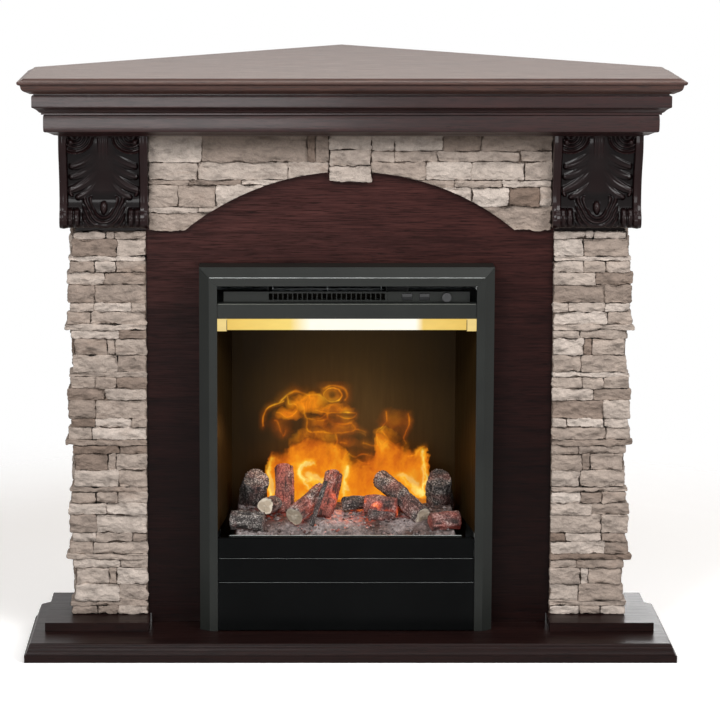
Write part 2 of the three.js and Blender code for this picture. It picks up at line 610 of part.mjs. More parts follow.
// outlet plate with a comb of upright fins, blank at its left end
function heaterGrille() {
  const bar = (x0, x1, back, z0, z1) => block(x0, x1, gridFront, back, z0, z1);
  const pieces = [
    bar(-SLOT_HALF, HEATER_LEFT, plateY, slotFloor, PLATE_TOP),
    bar(HEATER_LEFT, HEATER_RIGHT, gridBack, slotFloor, slotFloor + GRID_BAR),
    bar(HEATER_LEFT, HEATER_RIGHT, gridBack, PLATE_TOP - GRID_BAR, PLATE_TOP),
    bar(HEATER_RIGHT, HEATER_RIGHT + GRID_END, gridBack, slotFloor, PLATE_TOP),
  ];
  const pitch = (HEATER_RIGHT - HEATER_LEFT) / FINS;
  for (let i = 0; i < FINS; i += 1) {
    const x = HEATER_LEFT + i * pitch;
    pieces.push(bar(x, x + FIN_THICK, gridBack, slotFloor, PLATE_TOP));
  }
  return join(...pieces);
}
place('heater_grille', heaterGrille(), BLACK_STEEL, fire);

// blower housing, open towards the grille, with a hole for the fan shaft in its right end
const housingFront = gridBack + SEAT;
const housingBack = FAN_Y + FAN_RADIUS + 6;
const housingBottom = ceilingTop + SEAT;
const housingTop = caseLid - SEAT;
const housingRight = HEATER_RIGHT + GRID_END;
const wall = THIN_SHEET;
const onShaft = (x) => [x, FAN_Y, FAN_Z];
place('heater_housing', carve(
  block(HEATER_LEFT, housingRight, housingFront, housingBack, housingBottom, housingTop),
  block(HEATER_LEFT + wall, housingRight - wall, housingFront - 1, housingBack - wall, housingBottom + wall,
    housingTop - wall),
  rod(onShaft(HEATER_RIGHT), onShaft(housingRight + 5), SHAFT + 1, 16),
), ZINC, fire);

// ribbon element folded across the outlet
function heatingElement() {
  const y = housingFront + 6;
  const left = HEATER_LEFT + wall + SEAT;
  const pitch = (HEATER_RIGHT - HEATER_LEFT - 2 * SEAT) / ELEMENT.folds;
  const front = [];
  const back = [];
  for (let i = 0; i <= ELEMENT.folds; i += 1) {
    const fold = y + (i % 2) * ELEMENT.depth;
    front.push([left + i * pitch, fold]);
    back.unshift([left + i * pitch, fold + ELEMENT.thick]);
  }
  return plan([...front, ...back], slotFloor + 2, PLATE_TOP - 2);
}
place('heating_element', heatingElement(), { color: '#b0633c', roughness: 0.5, metalness: 0.8 }, fire);

// crossflow rotor: three discs on a shaft, with blades all round
function fanRotor() {
  const left = HEATER_LEFT + 8;
  const right = HEATER_RIGHT - 4;
  const pieces = [rod(onShaft(left), onShaft(HEATER_RIGHT + 12), SHAFT, 12)];
  for (const x of [left, (left + right) / 2, right - FAN_DISC]) {
    pieces.push(rod(onShaft(x), onShaft(x + FAN_DISC), FAN_RADIUS - 0.5, 24));
  }
  for (let i = 0; i < FAN_BLADES; i += 1) {
    const blade = block(left, right, -FAN_DISC / 2, FAN_DISC / 2, FAN_RADIUS - 6, FAN_RADIUS);
    blade.rotateX((i / FAN_BLADES) * 2 * Math.PI);
    pieces.push(blade.translate(0, FAN_Y, FAN_Z));
  }
  return join(...pieces);
}
place('fan_rotor', fanRotor(), ZINC, fire);

// motor on its foot beside the housing
const motorLeft = housingRight + SEAT;
place('fan_motor', carve(
  join(
    rod(onShaft(motorLeft), onShaft(motorLeft + MOTOR.length), MOTOR.radius, 28),
    block(motorLeft + 4, motorLeft + MOTOR.length - 4, FAN_Y - MOTOR.foot, FAN_Y + MOTOR.foot,
      housingBottom, FAN_Z),
  ),
  rod(onShaft(motorLeft - 1), onShaft(HEATER_RIGHT + 13), SHAFT + 0.5, 16),
), DARK_PLASTIC, fire);

// control plate at the right end of the slot, with windows for two rockers and a hole for the knob
const controlZ = (slotFloor + PLATE_TOP) / 2;
const halfWide = ROCKER.width / 2;
const halfHigh = ROCKER.height / 2;
const windows = Object.values(ROCKERS).map((x) => block(
  x - halfWide - ROCKER.sideRoom, x + halfWide + ROCKER.sideRoom, gridFront - 1, plateY + 1,
  controlZ - halfHigh - ROCKER.endRoom, controlZ + halfHigh + ROCKER.endRoom,
));
const onKnob = (y) => [KNOB.x, plateY + y, controlZ];
place('control_plate', carve(
  block(motorLeft, SLOT_HALF, gridFront, plateY, slotFloor, PLATE_TOP),
  ...windows,
  rod(onKnob(-PLATE - 1), onKnob(1), KNOB.spindle + 0.5, 20),
), BLACK_STEEL, fire);

// rocker button, tipped so that its upper half stands out
const tip = Math.tan(THREE.MathUtils.degToRad(ROCKER.tilt)) * halfHigh;
for (const [name, x] of Object.entries(ROCKERS)) {
  const face = plateY - ROCKER.proud;
  const section = [
    [face - tip, controlZ + halfHigh], [face - 0.6, controlZ], [face + tip, controlZ - halfHigh],
    [plateY + 3, controlZ - halfHigh + 2], [plateY + 3, controlZ + halfHigh - 2],
  ];
  place(name, sideView(section, x - halfWide, x + halfWide), DARK_PLASTIC, fire);
}
place('flame_knob', join(
  rod(onKnob(-KNOB.proud), onKnob(-PLATE - SEAT), KNOB.radius, 28),
  rod(onKnob(-KNOB.proud / 2), onKnob(8), KNOB.spindle, 16),
  block(KNOB.x - 1, KNOB.x + 1, plateY - KNOB.proud - 1.5, plateY - 8,
    controlZ, controlZ + KNOB.radius - 0.5),
), DARK_PLASTIC, fire);

// ---------------------------------------------------------------- drawer
// stepped front: each band lower down stands further out
const [upperTread, lowerTread] = DRAWER_STEPS;
const drawerBack = TRIM_FACE + DRAWER_DEPTH;
place('drawer_front', sideView([
  [TRIM_FACE + 3 * TREAD, DRAWER_TOP], [TRIM_FACE + 3 * TREAD - 1, DRAWER_TOP],
  [TRIM_FACE + 2 * TREAD, DRAWER_TOP - 1], [TRIM_FACE + 2 * TREAD, upperTread + TREAD_FALL],
  [TRIM_FACE + TREAD, upperTread], [TRIM_FACE + TREAD, lowerTread + TREAD_FALL], [TRIM_FACE, lowerTread],
  [TRIM_FACE, DRAWER_BOTTOM], [drawerBack, DRAWER_BOTTOM], [drawerBack, DRAWER_TOP],
], -DRAWER_HALF, DRAWER_HALF), BLACK_STEEL, fire);

// open tray behind it; its flanges slide on the runners
const trayFront = drawerBack + SEAT;
const flangeHalf = TRAY_HALF + RUNNER_WIDTH;
const trayInside = TRAY_HALF - SHEET;
place('drawer_tray', carve(
  join(
    block(-TRAY_HALF, TRAY_HALF, trayFront, TRAY_BACK, TRAY_FLOOR - SHEET, TRAY_RIM),
    block(-flangeHalf, flangeHalf, trayFront, TRAY_BACK, RUNNER_TOP + SEAT, RUNNER_TOP + FLANGE),
  ),
  block(-trayInside, trayInside, trayFront + SHEET, TRAY_BACK - SHEET, TRAY_FLOOR, TRAY_RIM + 1),
), ZINC, fire);

// water tank on the left with its filler cap on top
const unitFloor = TRAY_FLOOR + SEAT;
place('water_tank', join(
  block(TANK.left, TANK.right, MIST_FRONT, MIST_BACK, unitFloor, TANK.top),
  rod([CAP.x, CAP.y, TANK.top - 1], [CAP.x, CAP.y, TANK.top + CAP.height], CAP.radius, 28),
  block(CAP.x - 2, CAP.x + 2, CAP.y - CAP.grip, CAP.y + CAP.grip, TANK.top + CAP.height - 1, TANK.top + 15),
), { color: '#5b6f7a', roughness: 0.2, metalness: 0 }, fire);

// sump of the mist generator: a deep basin and a shallow ledge, with a lamp at each end of the ledge
const basinLeft = SUMP.left + SUMP.wall;
const basinRight = SUMP.right - SUMP.wall;
const ledgeFront = SUMP.basinBack + SUMP.wall;
place('mist_sump', carve(
  block(SUMP.left, SUMP.right, MIST_FRONT, MIST_BACK, unitFloor, SUMP.top),
  block(basinLeft, basinRight, MIST_FRONT + SUMP.wall, SUMP.basinBack, SUMP.floor, SUMP.top + 1),
  block(basinLeft, basinRight, ledgeFront, MIST_BACK - SUMP.wall, SUMP.ledge, SUMP.top + 1),
), DARK_PLASTIC, fire);
for (const [name, x] of Object.entries(LAMPS)) {
  const y = (ledgeFront + MIST_BACK - SUMP.wall) / 2;
  const cone = new THREE.ConeGeometry(LAMP.radius, LAMP.cone, 28, 1).rotateX(-Math.PI / 2);
  place(name, join(
    rod([x, y, SUMP.ledge + SEAT], [x, y, SUMP.ledge + LAMP.stem], LAMP.base, 18),
    cone.translate(x, y, SUMP.ledge + LAMP.stem + 4),
  ), { color: '#e6e2d2', roughness: 0.2, metalness: 0.3 }, fire);
}

// fixed runners on the case sides
const runnerBottom = RUNNER_TOP - RUNNER_HEIGHT;
pair('runner', block(TRAY_HALF + SEAT, insideHalf, CASE_FRONT + 4, TRAY_BACK, runnerBottom, RUNNER_TOP),
  ZINC, fire);

// ---------------------------------------------------------------- fuel bed and logs
// a rough log with a swelling, twisted outline; margin makes the socket that it sits in
function log({ from, to, radius, endRadius, twist }, margin = 0) {
  const sides = 14;
  const rings = 7;
  const a = new THREE.Vector3(...from);
  const along = new THREE.Vector3(...to).sub(a);
  a.z += ash;
  const length = along.length() + 2 * margin;
  const round = new THREE.CylinderGeometry(endRadius + margin, radius + margin, length, sides, rings - 1);
  const geometry = mergeVertices(round.deleteAttribute('normal').deleteAttribute('uv'));
  const position = geometry.attributes.position;
  for (let i = 0; i < position.count; i += 1) {
    const angle = Math.atan2(position.getZ(i), position.getX(i));
    const swell = 1 + 0.07 * Math.sin(3 * angle + twist + (6 * position.getY(i)) / length)
      + 0.04 * Math.cos(5 * angle - twist);
    position.setX(i, position.getX(i) * swell);
    position.setZ(i, position.getZ(i) * swell);
  }
  const centre = a.addScaledVector(along, 0.5);
  const turn = new THREE.Quaternion().setFromUnitVectors(new THREE.Vector3(0, 1, 0), along.normalize());
  return geometry.applyQuaternion(turn).translate(centre.x, centre.y, centre.z);
}

const bedHalf = TRAY_HALF + 1;
const bedFloor = TRAY_RIM + SEAT;
const ash = BED_TOP + 12; // height of the ash in the middle of the bed

// logs that lift off the bed: ends, with heights above the ash
const LOGS = {
  log_left: { from: [-166, -142, 26], to: [-158, -214, 52], radius: 28, endRadius: 27, twist: 0.4 },
  log_right: { from: [168, -146, 24], to: [166, -212, 50], radius: 27, endRadius: 25, twist: 2.6 },
  log_cross: { from: [62, -180, 56], to: [138, -276, 10], radius: 17, endRadius: 19, twist: 1.7 },
  log_front: { from: [-52, -200, 34], to: [-90, -296, 15], radius: 16, endRadius: 18, twist: 3.3 },
};

// logs, a twig and embers cast in one with the ash
const CAST_LOGS = [
  { from: [-200, -286, 5], to: [-140, -300, 5], radius: 17, endRadius: 16, twist: 0.9 },
  { from: [-110, -192, 16], to: [-138, -280, 20], radius: 15, endRadius: 15, twist: 2.2 },
  { from: [-100, -236, -4], to: [-108, -170, 74], radius: 16, endRadius: 14, twist: 1.2 },
  { from: [-47, -262, -4], to: [-30, -236, 80], radius: 4.5, endRadius: 3, twist: 0.2 },
  { from: [-38, -250, 2], to: [-14, -178, 60], radius: 17, endRadius: 14, twist: 2.9 },
  { from: [-16, -246, 8], to: [30, -226, 12], radius: 12, endRadius: 10, twist: 0.7 },
  { from: [34, -236, 13], to: [90, -250, 12], radius: 18, endRadius: 15, twist: 1.9 },
  { from: [196, -284, 4], to: [150, -300, 4], radius: 16, endRadius: 15, twist: 1.4 },
];

// tray of ash with a double front rail, resting on the rim of the drawer tray
const bedFront = trayFront + 4;
const bedBack = TRAY_BACK - 2;
const ashSlope = [
  [bedFront + 7, bedFloor + 1], [bedFront + 7, BED_TOP - 4], [bedFront + 24, BED_TOP + 2],
  [bedFront + 80, ash],
  [bedBack - 50, ash + 8], [bedBack - 6, ash + 10], [bedBack - 1, bedFloor + 1],
];
const underBed = bedFloor + BED_PLATE + 8; // the bed is hollow up to here
place('fuel_bed', carve(
  join(
    block(-bedHalf, bedHalf, bedFront, bedBack, bedFloor, bedFloor + BED_PLATE),
    sideView(ashSlope, -bedHalf + 5, bedHalf - 5),
    block(-bedHalf, bedHalf, bedFront, bedFront + RAIL, bedFloor + 1, BED_TOP + 6),
    block(-bedHalf, bedHalf, bedFront + 1, bedFront + 8, bedFloor + 1, BED_TOP + 1),
    ...CAST_LOGS.map((one) => log(one)),
  ),
  block(-bedHalf + BED_RIM, bedHalf - BED_RIM, bedFront + BED_RIM + 2, bedBack - BED_RIM,
    bedFloor - 1, underBed),
  block(-MIST_SLOT_HALF, MIST_SLOT_HALF, MIST_Y - 5, MIST_Y + 5, bedFloor - 1, ash + 60),
  ...Object.values(LOGS).map((one) => log(one, 2 * SEAT)),
), { color: '#57504a', roughness: 0.9, metalness: 0 }, fire);
for (const [name, one] of Object.entries(LOGS)) place(name, log(one), BARK, fire);

export default fireplace;
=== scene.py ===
"""Corner fireplace suite: what it looks like, over the frame."""

import bpy
import math
import numpy as np
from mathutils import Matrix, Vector


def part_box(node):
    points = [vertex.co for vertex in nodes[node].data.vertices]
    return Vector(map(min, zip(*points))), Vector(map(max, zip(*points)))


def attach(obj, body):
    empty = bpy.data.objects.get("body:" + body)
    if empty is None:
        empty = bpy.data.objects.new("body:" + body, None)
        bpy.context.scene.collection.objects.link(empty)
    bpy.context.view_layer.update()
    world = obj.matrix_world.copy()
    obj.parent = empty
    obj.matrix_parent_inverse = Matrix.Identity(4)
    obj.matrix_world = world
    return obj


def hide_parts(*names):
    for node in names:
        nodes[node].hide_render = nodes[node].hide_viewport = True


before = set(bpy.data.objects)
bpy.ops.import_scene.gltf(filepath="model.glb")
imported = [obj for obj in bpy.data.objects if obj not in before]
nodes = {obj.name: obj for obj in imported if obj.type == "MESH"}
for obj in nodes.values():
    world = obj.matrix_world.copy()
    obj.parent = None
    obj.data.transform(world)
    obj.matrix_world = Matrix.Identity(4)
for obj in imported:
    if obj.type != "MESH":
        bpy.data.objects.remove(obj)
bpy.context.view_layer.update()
scene = bpy.context.scene

# -------------------- camera
camera = bpy.data.objects.new("camera", bpy.data.cameras.new("camera"))
scene.collection.objects.link(camera)
scene.camera = camera
camera.location = (-0.1288, -5.4153, 1.42)
DOWNWARD_TILT = 0.1433
camera.rotation_euler = (math.pi / 2 - DOWNWARD_TILT, 0, 0)
camera.data.lens = 150
camera.data.shift_x, camera.data.shift_y = 0.1175, -0.14
camera.data.clip_end = 50


# -------------------- materials
class Graph:
    """Adds nodes to a tree and feeds their sockets."""

    def __init__(self, tree):
        self.tree = tree

    def feed(self, target, value):
        if isinstance(value, bpy.types.NodeSocket):
            self.tree.links.new(value, target)
            return
        if isinstance(value, tuple) and len(value) == 3 and target.type == "RGBA":
            value = (*value, 1.0)
        target.default_value = value

    def add(self, kind, inputs=(), **settings):
        node = self.tree.nodes.new("ShaderNode" + kind)
        for key, value in settings.items():
            setattr(node, key, value)
        for key, value in dict(inputs).items():
            self.feed(node.inputs[key], value)
        return node

    def math(self, operation, a, b):
        return self.add("Math", {0: a, 1: b}, operation=operation).outputs[0]

    def times(self, a, b):
        return self.math("MULTIPLY", a, b)

    def backdrop_rays(self):
        """Rays that meet the white room: the camera's own, and those off metal or through glass."""
        rays = self.add("LightPath").outputs
        seen = self.math("MAXIMUM", rays["Is Camera Ray"], rays["Is Glossy Ray"])
        return self.math("MAXIMUM", seen, rays["Is Transmission Ray"])


ROUND = (1, 1, 1)


class Finish(Graph):
    """A material mixed from noise in the piece's own coordinates."""

    def __init__(self, name, **inputs):
        self.material = bpy.data.materials.new(name)
        self.material.use_nodes = True
        super().__init__(self.material.node_tree)
        self.shader = self.tree.nodes["Principled BSDF"]
        self.place = self.add("TexCoord").outputs["Object"]
        for socket, value in inputs.items():
            self.set(socket, value)

    def set(self, socket, value):
        self.feed(self.shader.inputs[socket.replace("_", " ")], value)

    def stretched(self, stretch):
        if stretch == ROUND:
            return self.place
        return self.add("Mapping", {"Vector": self.place, "Scale": stretch}).outputs["Vector"]

    def noise(self, scale, stretch=ROUND, detail=5.0, rough=0.55, warp=0.0):
        return self.add("TexNoise", {"Vector": self.stretched(stretch), "Scale": scale, "Detail": detail,
                                     "Roughness": rough, "Distortion": warp}).outputs["Fac"]

    def cells(self, scale, stretch=ROUND):
        return self.add("TexVoronoi", {"Vector": self.stretched(stretch), "Scale": scale}).outputs["Distance"]

    def weighted(self, *parts):
        """Sum of patterns, each times its weight."""
        first, *others = [self.times(value, weight) for value, weight in parts]
        for other in others:
            first = self.math("ADD", first, other)
        return first

    def ramp(self, value, *stops):
        node = self.add("ValToRGB", {"Fac": value})
        ends = node.color_ramp.elements
        while len(ends) < len(stops):
            ends.new(0.5)
        for end, (position, colour) in zip(ends, stops):
            end.position = position
            end.color = (*colour, 1) if isinstance(colour, tuple) else (colour, colour, colour, 1)
        return node.outputs["Color"]

    def between(self, value, low, high):
        """Two ends over the middle of a noise."""
        return self.ramp(value, (0.3, low), (0.7, high))

    def mix(self, factor, a, b, blend="MIX"):
        return self.add("Mix", {0: factor, 6: a, 7: b}, data_type="RGBA", blend_type=blend).outputs[2]

    def tinted(self, a, b):
        return self.mix(1.0, a, b, "MULTIPLY")

    def ranged(self, value, low, high, **settings):
        """Runs from 0 to 1 as the value goes from low to high."""
        ends = {"Value": value, "From Min": low, "From Max": high}
        return self.add("MapRange", ends, **settings).outputs["Result"]

    def coordinate(self, axis):
        return self.add("SeparateXYZ", {"Vector": self.place}).outputs[axis]

    def distance(self, centre):
        return self.add("VectorMath", {0: self.place, 1: centre}, operation="DISTANCE").outputs["Value"]

    def attribute(self, name):
        return self.add("Attribute", attribute_name=name).outputs["Fac"]

    def relief(self, height, depth, strength=1.0):
        bump = self.add("Bump", {"Height": height, "Distance": depth, "Strength": strength})
        self.set("Normal", bump.outputs["Normal"])


def veneer(name, along, light, dark, sheen, gloss, shine, shaded_heights=None):
    """Dark stained wood with its grain along one axis, under lacquer; through the shaded heights its colour is painted
    darker towards the bottom, as painted shade.
    """
    fine = tuple(1.0 if axis == along else 26.0 for axis in "XYZ")
    broad = tuple(0.7 if axis == along else 6.0 for axis in "XYZ")
    wood = Finish(name, Coat_Weight=sheen, Coat_Roughness=0.16, Specular_IOR_Level=shine)
    grain = wood.noise(14, fine, 7, 0.62)
    figure = wood.noise(7, broad, 4, 0.5, 0.6)
    pores = wood.ramp(wood.noise(34, fine, 3, 0.5), (0.36, 0.35), (0.46, 1.0))
    halfway = tuple((a + b) / 2 for a, b in zip(dark, light))
    colour = wood.ramp(wood.weighted((grain, 0.62), (figure, 0.38)), (0.36, dark), (0.5, halfway), (0.64, light))
    if shaded_heights:
        # painted shade: the colour is darkened towards the bottom of these heights
        height = wood.ranged(wood.coordinate("Z"), *shaded_heights)
        colour = wood.tinted(colour, wood.ramp(height, (0.0, 0.16), (0.55, 0.40), (1.0, 1.0)))
    wood.set("Base_Color", wood.tinted(colour, pores))
    wood.set("Roughness", wood.between(grain, gloss + 0.16, gloss))
    wood.relief(wood.times(grain, pores), 0.00035, 0.5)
    return wood


WENGE = (0.034, 0.0110, 0.0100)
WENGE_DARK = (0.011, 0.0034, 0.0034)
wood_x = veneer("wood_veneer_x", "X", WENGE, WENGE_DARK, 0.24, 0.26, 0.18)
wood_y = veneer("wood_veneer_y", "Y", WENGE, WENGE_DARK, 0.24, 0.26, 0.18)
shelf_wood = veneer("shelf_veneer", "X", (0.074, 0.032, 0.023), (0.030, 0.0110, 0.0085), 0.05, 0.4, 0.35)
hearth_wood = veneer("hearth_veneer", "X", (0.015, 0.0055, 0.0046), (0.005, 0.0019, 0.0018), 0.05, 0.30, 0.08)
panel_wood = veneer("panel_veneer", "X", (0.064, 0.0210, 0.0180), (0.018, 0.0055, 0.0050), 0.0, 0.28, 0.06,
                    (0.30, 0.78))

carved = Finish("carved_wood", Coat_Weight=0.16, Coat_Roughness=0.08, Roughness=0.34, Specular_IOR_Level=0.06)
# painted shade: the recesses of the carving are coloured darker than its raised parts
recess_shade = carved.ramp(carved.attribute("height"), (0.25, 0.0), (0.85, 1.0))
carved.set("Base_Color", carved.mix(recess_shade, (0.0025, 0.0010, 0.0011), (0.0120, 0.0046, 0.0046)))
carved.relief(carved.noise(160, (1, 1, 0.25), 4), 0.0004, 0.4)

stone = Finish("ledger_stone", Roughness=0.9, Specular_IOR_Level=0.25)
strata = stone.noise(58, (0.8, 0.8, 1.35), 9, 0.64, 0.35)
grit = stone.noise(420, detail=4)
patches = stone.noise(26, (0.8, 0.8, 1.2), 5, 0.6)
chips = stone.cells(120, (0.8, 0.8, 1.3))
base = stone.ramp(stone.attribute("tone"), (0.0, (0.235, 0.180, 0.146)), (0.45, (0.375, 0.304, 0.257)),
                  (1.0, (0.56, 0.482, 0.425)))
base = stone.mix(stone.attribute("brown"), base, (0.165, 0.112, 0.083))
shade = stone.weighted((strata, 0.6), (patches, 0.4))
base = stone.tinted(base, stone.ramp(shade, (0.36, 0.60), (0.48, 0.93), (0.64, 1.2)))
rust = stone.ramp(stone.noise(13, (0.6, 0.6, 1.6), 6, 0.6, 0.8), (0.58, 0.0), (0.75, 0.35))
base = stone.mix(rust, base, (0.30, 0.19, 0.13))
stone.set("Base_Color", stone.tinted(base, stone.ramp(grit, (0.25, 0.82), (0.75, 1.06))))
stone.relief(stone.weighted((strata, 1.0), (chips, 0.3), (grit, 0.1)), 0.006, 0.9)


def smoulder(finish, pattern, strength, *stops):
    """Light from the parts of a pattern that the glow attribute brings out."""
    heat = finish.times(finish.attribute("glow"), pattern)
    finish.set("Emission_Color", finish.ramp(heat, *stops))
    finish.set("Emission_Strength", finish.times(heat, strength))


def plain(name, tones, gloss, bump, **inputs):
    """Colour, roughness and relief that each follow a noise: its settings, then two ends, or depth and strength."""
    made = Finish(name, **inputs)
    made.set("Base_Color", made.between(made.noise(*tones[0]), *tones[1:]))
    if gloss:
        made.set("Roughness", made.between(made.noise(*gloss[0]), *gloss[1:]))
    made.relief(made.noise(*bump[0]), *bump[1:])
    return made


CLOUD, PEEL, RUB_AND_SHEEN = (9, ROUND, 4), (900, ROUND, 2), (160, (0.4, 1, 1), 5)
FIBRE, MOULDED, HEAT_TINT = (260, (1, 1, 0.6), 6, 0.7), (700, ROUND, 3), (60, (1, 1, 3))
steel = plain("black_steel", (CLOUD, (0.0085, 0.0095, 0.0085), (0.013, 0.0145, 0.0125)), (CLOUD, 0.36, 0.46),
              (PEEL, 0.00006, 0.35), Metallic=0.2, Specular_IOR_Level=0.22)
drawer_steel = plain("drawer_steel", ((9,), (0.0018, 0.0020, 0.0021), (0.0030, 0.0033, 0.0034)), ((24,), 0.20, 0.26),
                     (PEEL, 0.00006, 0.35), Metallic=0.05, Specular_IOR_Level=0.04)
# bright grey steel: rubbed edges on the bed rails, and painted highlights on the drawer treads and the trim
worn_edge_and_highlight = plain("worn_edge_and_highlight", (RUB_AND_SHEEN, (0.31, 0.33, 0.32), (0.47, 0.49, 0.48)), (RUB_AND_SHEEN, 0.3, 0.42), (RUB_AND_SHEEN, 0.00004, 0.3),
                  Metallic=0.6, Specular_IOR_Level=0.5)
# grey steel for a painted highlight along the hood bar
highlight_steel = plain("highlight_steel", ((120,), (0.075, 0.078, 0.068), (0.11, 0.115, 0.10)), ((60,), 0.35, 0.45),
                  ((900,), 0.00004, 0.3), Metallic=0.4)
board = plain("raw_board", (FIBRE, (0.33, 0.22, 0.13), (0.45, 0.32, 0.20)), None, (FIBRE, 0.0005, 0.5), Roughness=0.85)
plastic = plain("dark_plastic", (MOULDED, (0.012, 0.012, 0.013), (0.02, 0.02, 0.021)), ((30,), 0.4, 0.55),
                (MOULDED, 0.0001, 0.4))
tank = plain("tank_plastic", ((20,), (0.18, 0.26, 0.31), (0.25, 0.34, 0.39)), ((60,), 0.12, 0.25),
             ((200,), 0.0001, 0.3), Transmission_Weight=0.5, IOR=1.45)
element = plain("element", (HEAT_TINT, (0.020, 0.018, 0.015), (0.040, 0.034, 0.027)), (HEAT_TINT, 0.35, 0.55),
                (HEAT_TINT, 0.0002, 0.3), Metallic=0.6)
lamp_glass = plain("lamp_glass", ((90,), (0.6, 0.55, 0.45), (0.8, 0.76, 0.66)), ((50,), 0.15, 0.3),
                   ((160,), 0.0002, 0.3), Transmission_Weight=0.3, Emission_Strength=0.4,
                   Emission_Color=(1.0, 0.6, 0.3))


def zinc_sheet(name, dark, light, gloss, **inputs):
    sheet = Finish(name, **inputs)
    sheet.set("Base_Color", sheet.ramp(sheet.cells(120), (0.1, dark), (0.6, light)))
    sheet.set("Roughness", sheet.between(sheet.noise(40), *gloss))
    sheet.relief(sheet.noise(300), 0.0001, 0.3)
    return sheet


zinc = zinc_sheet("zinc_sheet", (0.36, 0.38, 0.39), (0.48, 0.5, 0.51), (0.35, 0.55), Metallic=0.9)
dull_zinc = zinc_sheet("dull_zinc", (0.010, 0.011, 0.010), (0.018, 0.019, 0.018), (0.5, 0.65), Metallic=0.5,
                       Specular_IOR_Level=0.2)

chamber = Finish("chamber_steel", Metallic=0.15, Specular_IOR_Level=0.06)
CHAMBER_GLOW_CENTRE = (0.012, -0.11, 0.40)  # brightest spot; the fire's glow is painted here, and the sheet's colour is painted darker away from it
brushed = chamber.noise(40, (3, 3, 0.3), 5, 0.55)
# painted light: the fire's glow painted as colour, bright in the middle and falling off to painted shade at the sides
painted_glow_falloff = chamber.ramp(chamber.distance(CHAMBER_GLOW_CENTRE), (0.05, 0.92), (0.20, 0.27))
bronze = chamber.between(brushed, (0.074, 0.040, 0.011), (0.096, 0.054, 0.016))
chamber.set("Base_Color", chamber.tinted(painted_glow_falloff, bronze))
chamber.set("Roughness", chamber.between(brushed, 0.42, 0.55))
chamber.relief(brushed, 0.00005, 0.2)


def diffuser(name, *stops):
    """A strip painted as glowing: its colour runs across the opening."""
    lit = Finish(name, Roughness=0.3, Emission_Strength=1.0)
    across = lit.ranged(lit.coordinate("X"), -0.23, 0.22)
    uneven_glow = lit.between(lit.noise(120, (0.3, 1, 1)), 0.92, 1.0)
    lit.set("Base_Color", lit.tinted((0.06, 0.05, 0.03), uneven_glow))
    lit.set("Emission_Color", lit.tinted(lit.ramp(across, *stops), uneven_glow))
    lit.relief(lit.noise(200), 0.0001, 0.2)
    return lit


# painted light: the gold strip is painted as glowing, with a painted reflection of a lamp, white, across its middle;
# its end caps get the same painted gold glow
GOLD = (0.74, 0.47, 0.055)
light = diffuser("light_diffuser", (0.0, GOLD), (0.28, (0.88, 0.64, 0.13)), (0.36, (1.0, 0.97, 0.84)),
                 (0.76, (1.0, 0.98, 0.86)), (0.79, (0.80, 0.54, 0.10)), (1.0, GOLD))
cap_glow = diffuser("cap_painted_glow", (0.0, (0.78, 0.58, 0.19)), (1.0, (0.78, 0.57, 0.18)))

ash = Finish("ember_resin", Roughness=0.95)
flakes = ash.noise(150, detail=7, rough=0.7)
pale = ash.ramp(flakes, (0.32, (0.07, 0.06, 0.058)), (0.5, (0.23, 0.195, 0.19)), (0.68, (0.47, 0.41, 0.40)))
burnt = ash.tinted(pale, (0.22, 0.13, 0.10))
ash.set("Base_Color", ash.mix(ash.attribute("char"), pale, burnt))
ash.relief(ash.weighted((flakes, 1.0), (ash.cells(260), 0.5)), 0.0025, 0.9)
coals = ash.ramp(ash.noise(70, detail=6, rough=0.65, warp=0.4), (0.40, 0.0), (0.62, 1.0))
smoulder(ash, coals, 0.7, (0.05, (0.35, 0.012, 0.002)), (0.4, (0.85, 0.07, 0.01)), (0.9, (1.0, 0.26, 0.05)))

bark = Finish("log_resin", Roughness=0.9)
weathered = bark.ramp(bark.noise(38, detail=4), (0.38, 0.88), (0.62, 1.09))
fleck = bark.times(bark.noise(330, detail=6, rough=0.7), weathered)
grey = bark.ramp(fleck, (0.36, (0.012, 0.010, 0.009)), (0.5, (0.066, 0.056, 0.053)), (0.63, (0.46, 0.42, 0.39)))
reddish = bark.ramp(fleck, (0.36, (0.045, 0.010, 0.008)), (0.64, (0.40, 0.13, 0.10)))
skin = bark.mix(bark.attribute("red"), grey, reddish)
skin = bark.mix(bark.ramp(bark.attribute("fissure"), (0.3, 0.85), (0.6, 0.0)), skin, (0.012, 0.008, 0.007))
sawn = bark.between(bark.attribute("rings"), (0.44, 0.36, 0.27), (0.64, 0.56, 0.45))
bark.set("Base_Color", bark.mix(bark.attribute("cut"), skin, sawn))
bark.relief(fleck, 0.0022, 0.9)
sparks = bark.ramp(bark.noise(60, detail=5), (0.42, 0.05), (0.62, 1.0))
smoulder(bark, sparks, 1.0, (0.05, (0.4, 0.015, 0.002)), (0.5, (0.95, 0.10, 0.015)), (1.0, (1.0, 0.3, 0.05)))


# -------------------- shape helpers
def unit(value):
    return np.clip(value, 0, 1)


def bell(value, width):
    return np.exp(-(value / width) ** 2)


def lattice(points, seed):
    """A repeatable random number from -1 to 1 at each whole-number point."""
    mixed = points[..., 0] * 127.1 + points[..., 1] * 311.7 + points[..., 2] * 74.7 + seed * 53.3
    value = np.sin(mixed) * 43758.5453
    return (value - np.floor(value)) * 2 - 1


def smooth_noise(points, seed=0):
    corner = np.floor(points)
    part = points - corner
    part = part * part * (3 - 2 * part)
    total = 0
    for i in range(8):
        step = np.array([i & 1, (i >> 1) & 1, (i >> 2) & 1])
        weight = np.prod(np.where(step, part, 1 - part), axis=-1)
        total = total + weight * lattice(corner + step, seed)
    return total


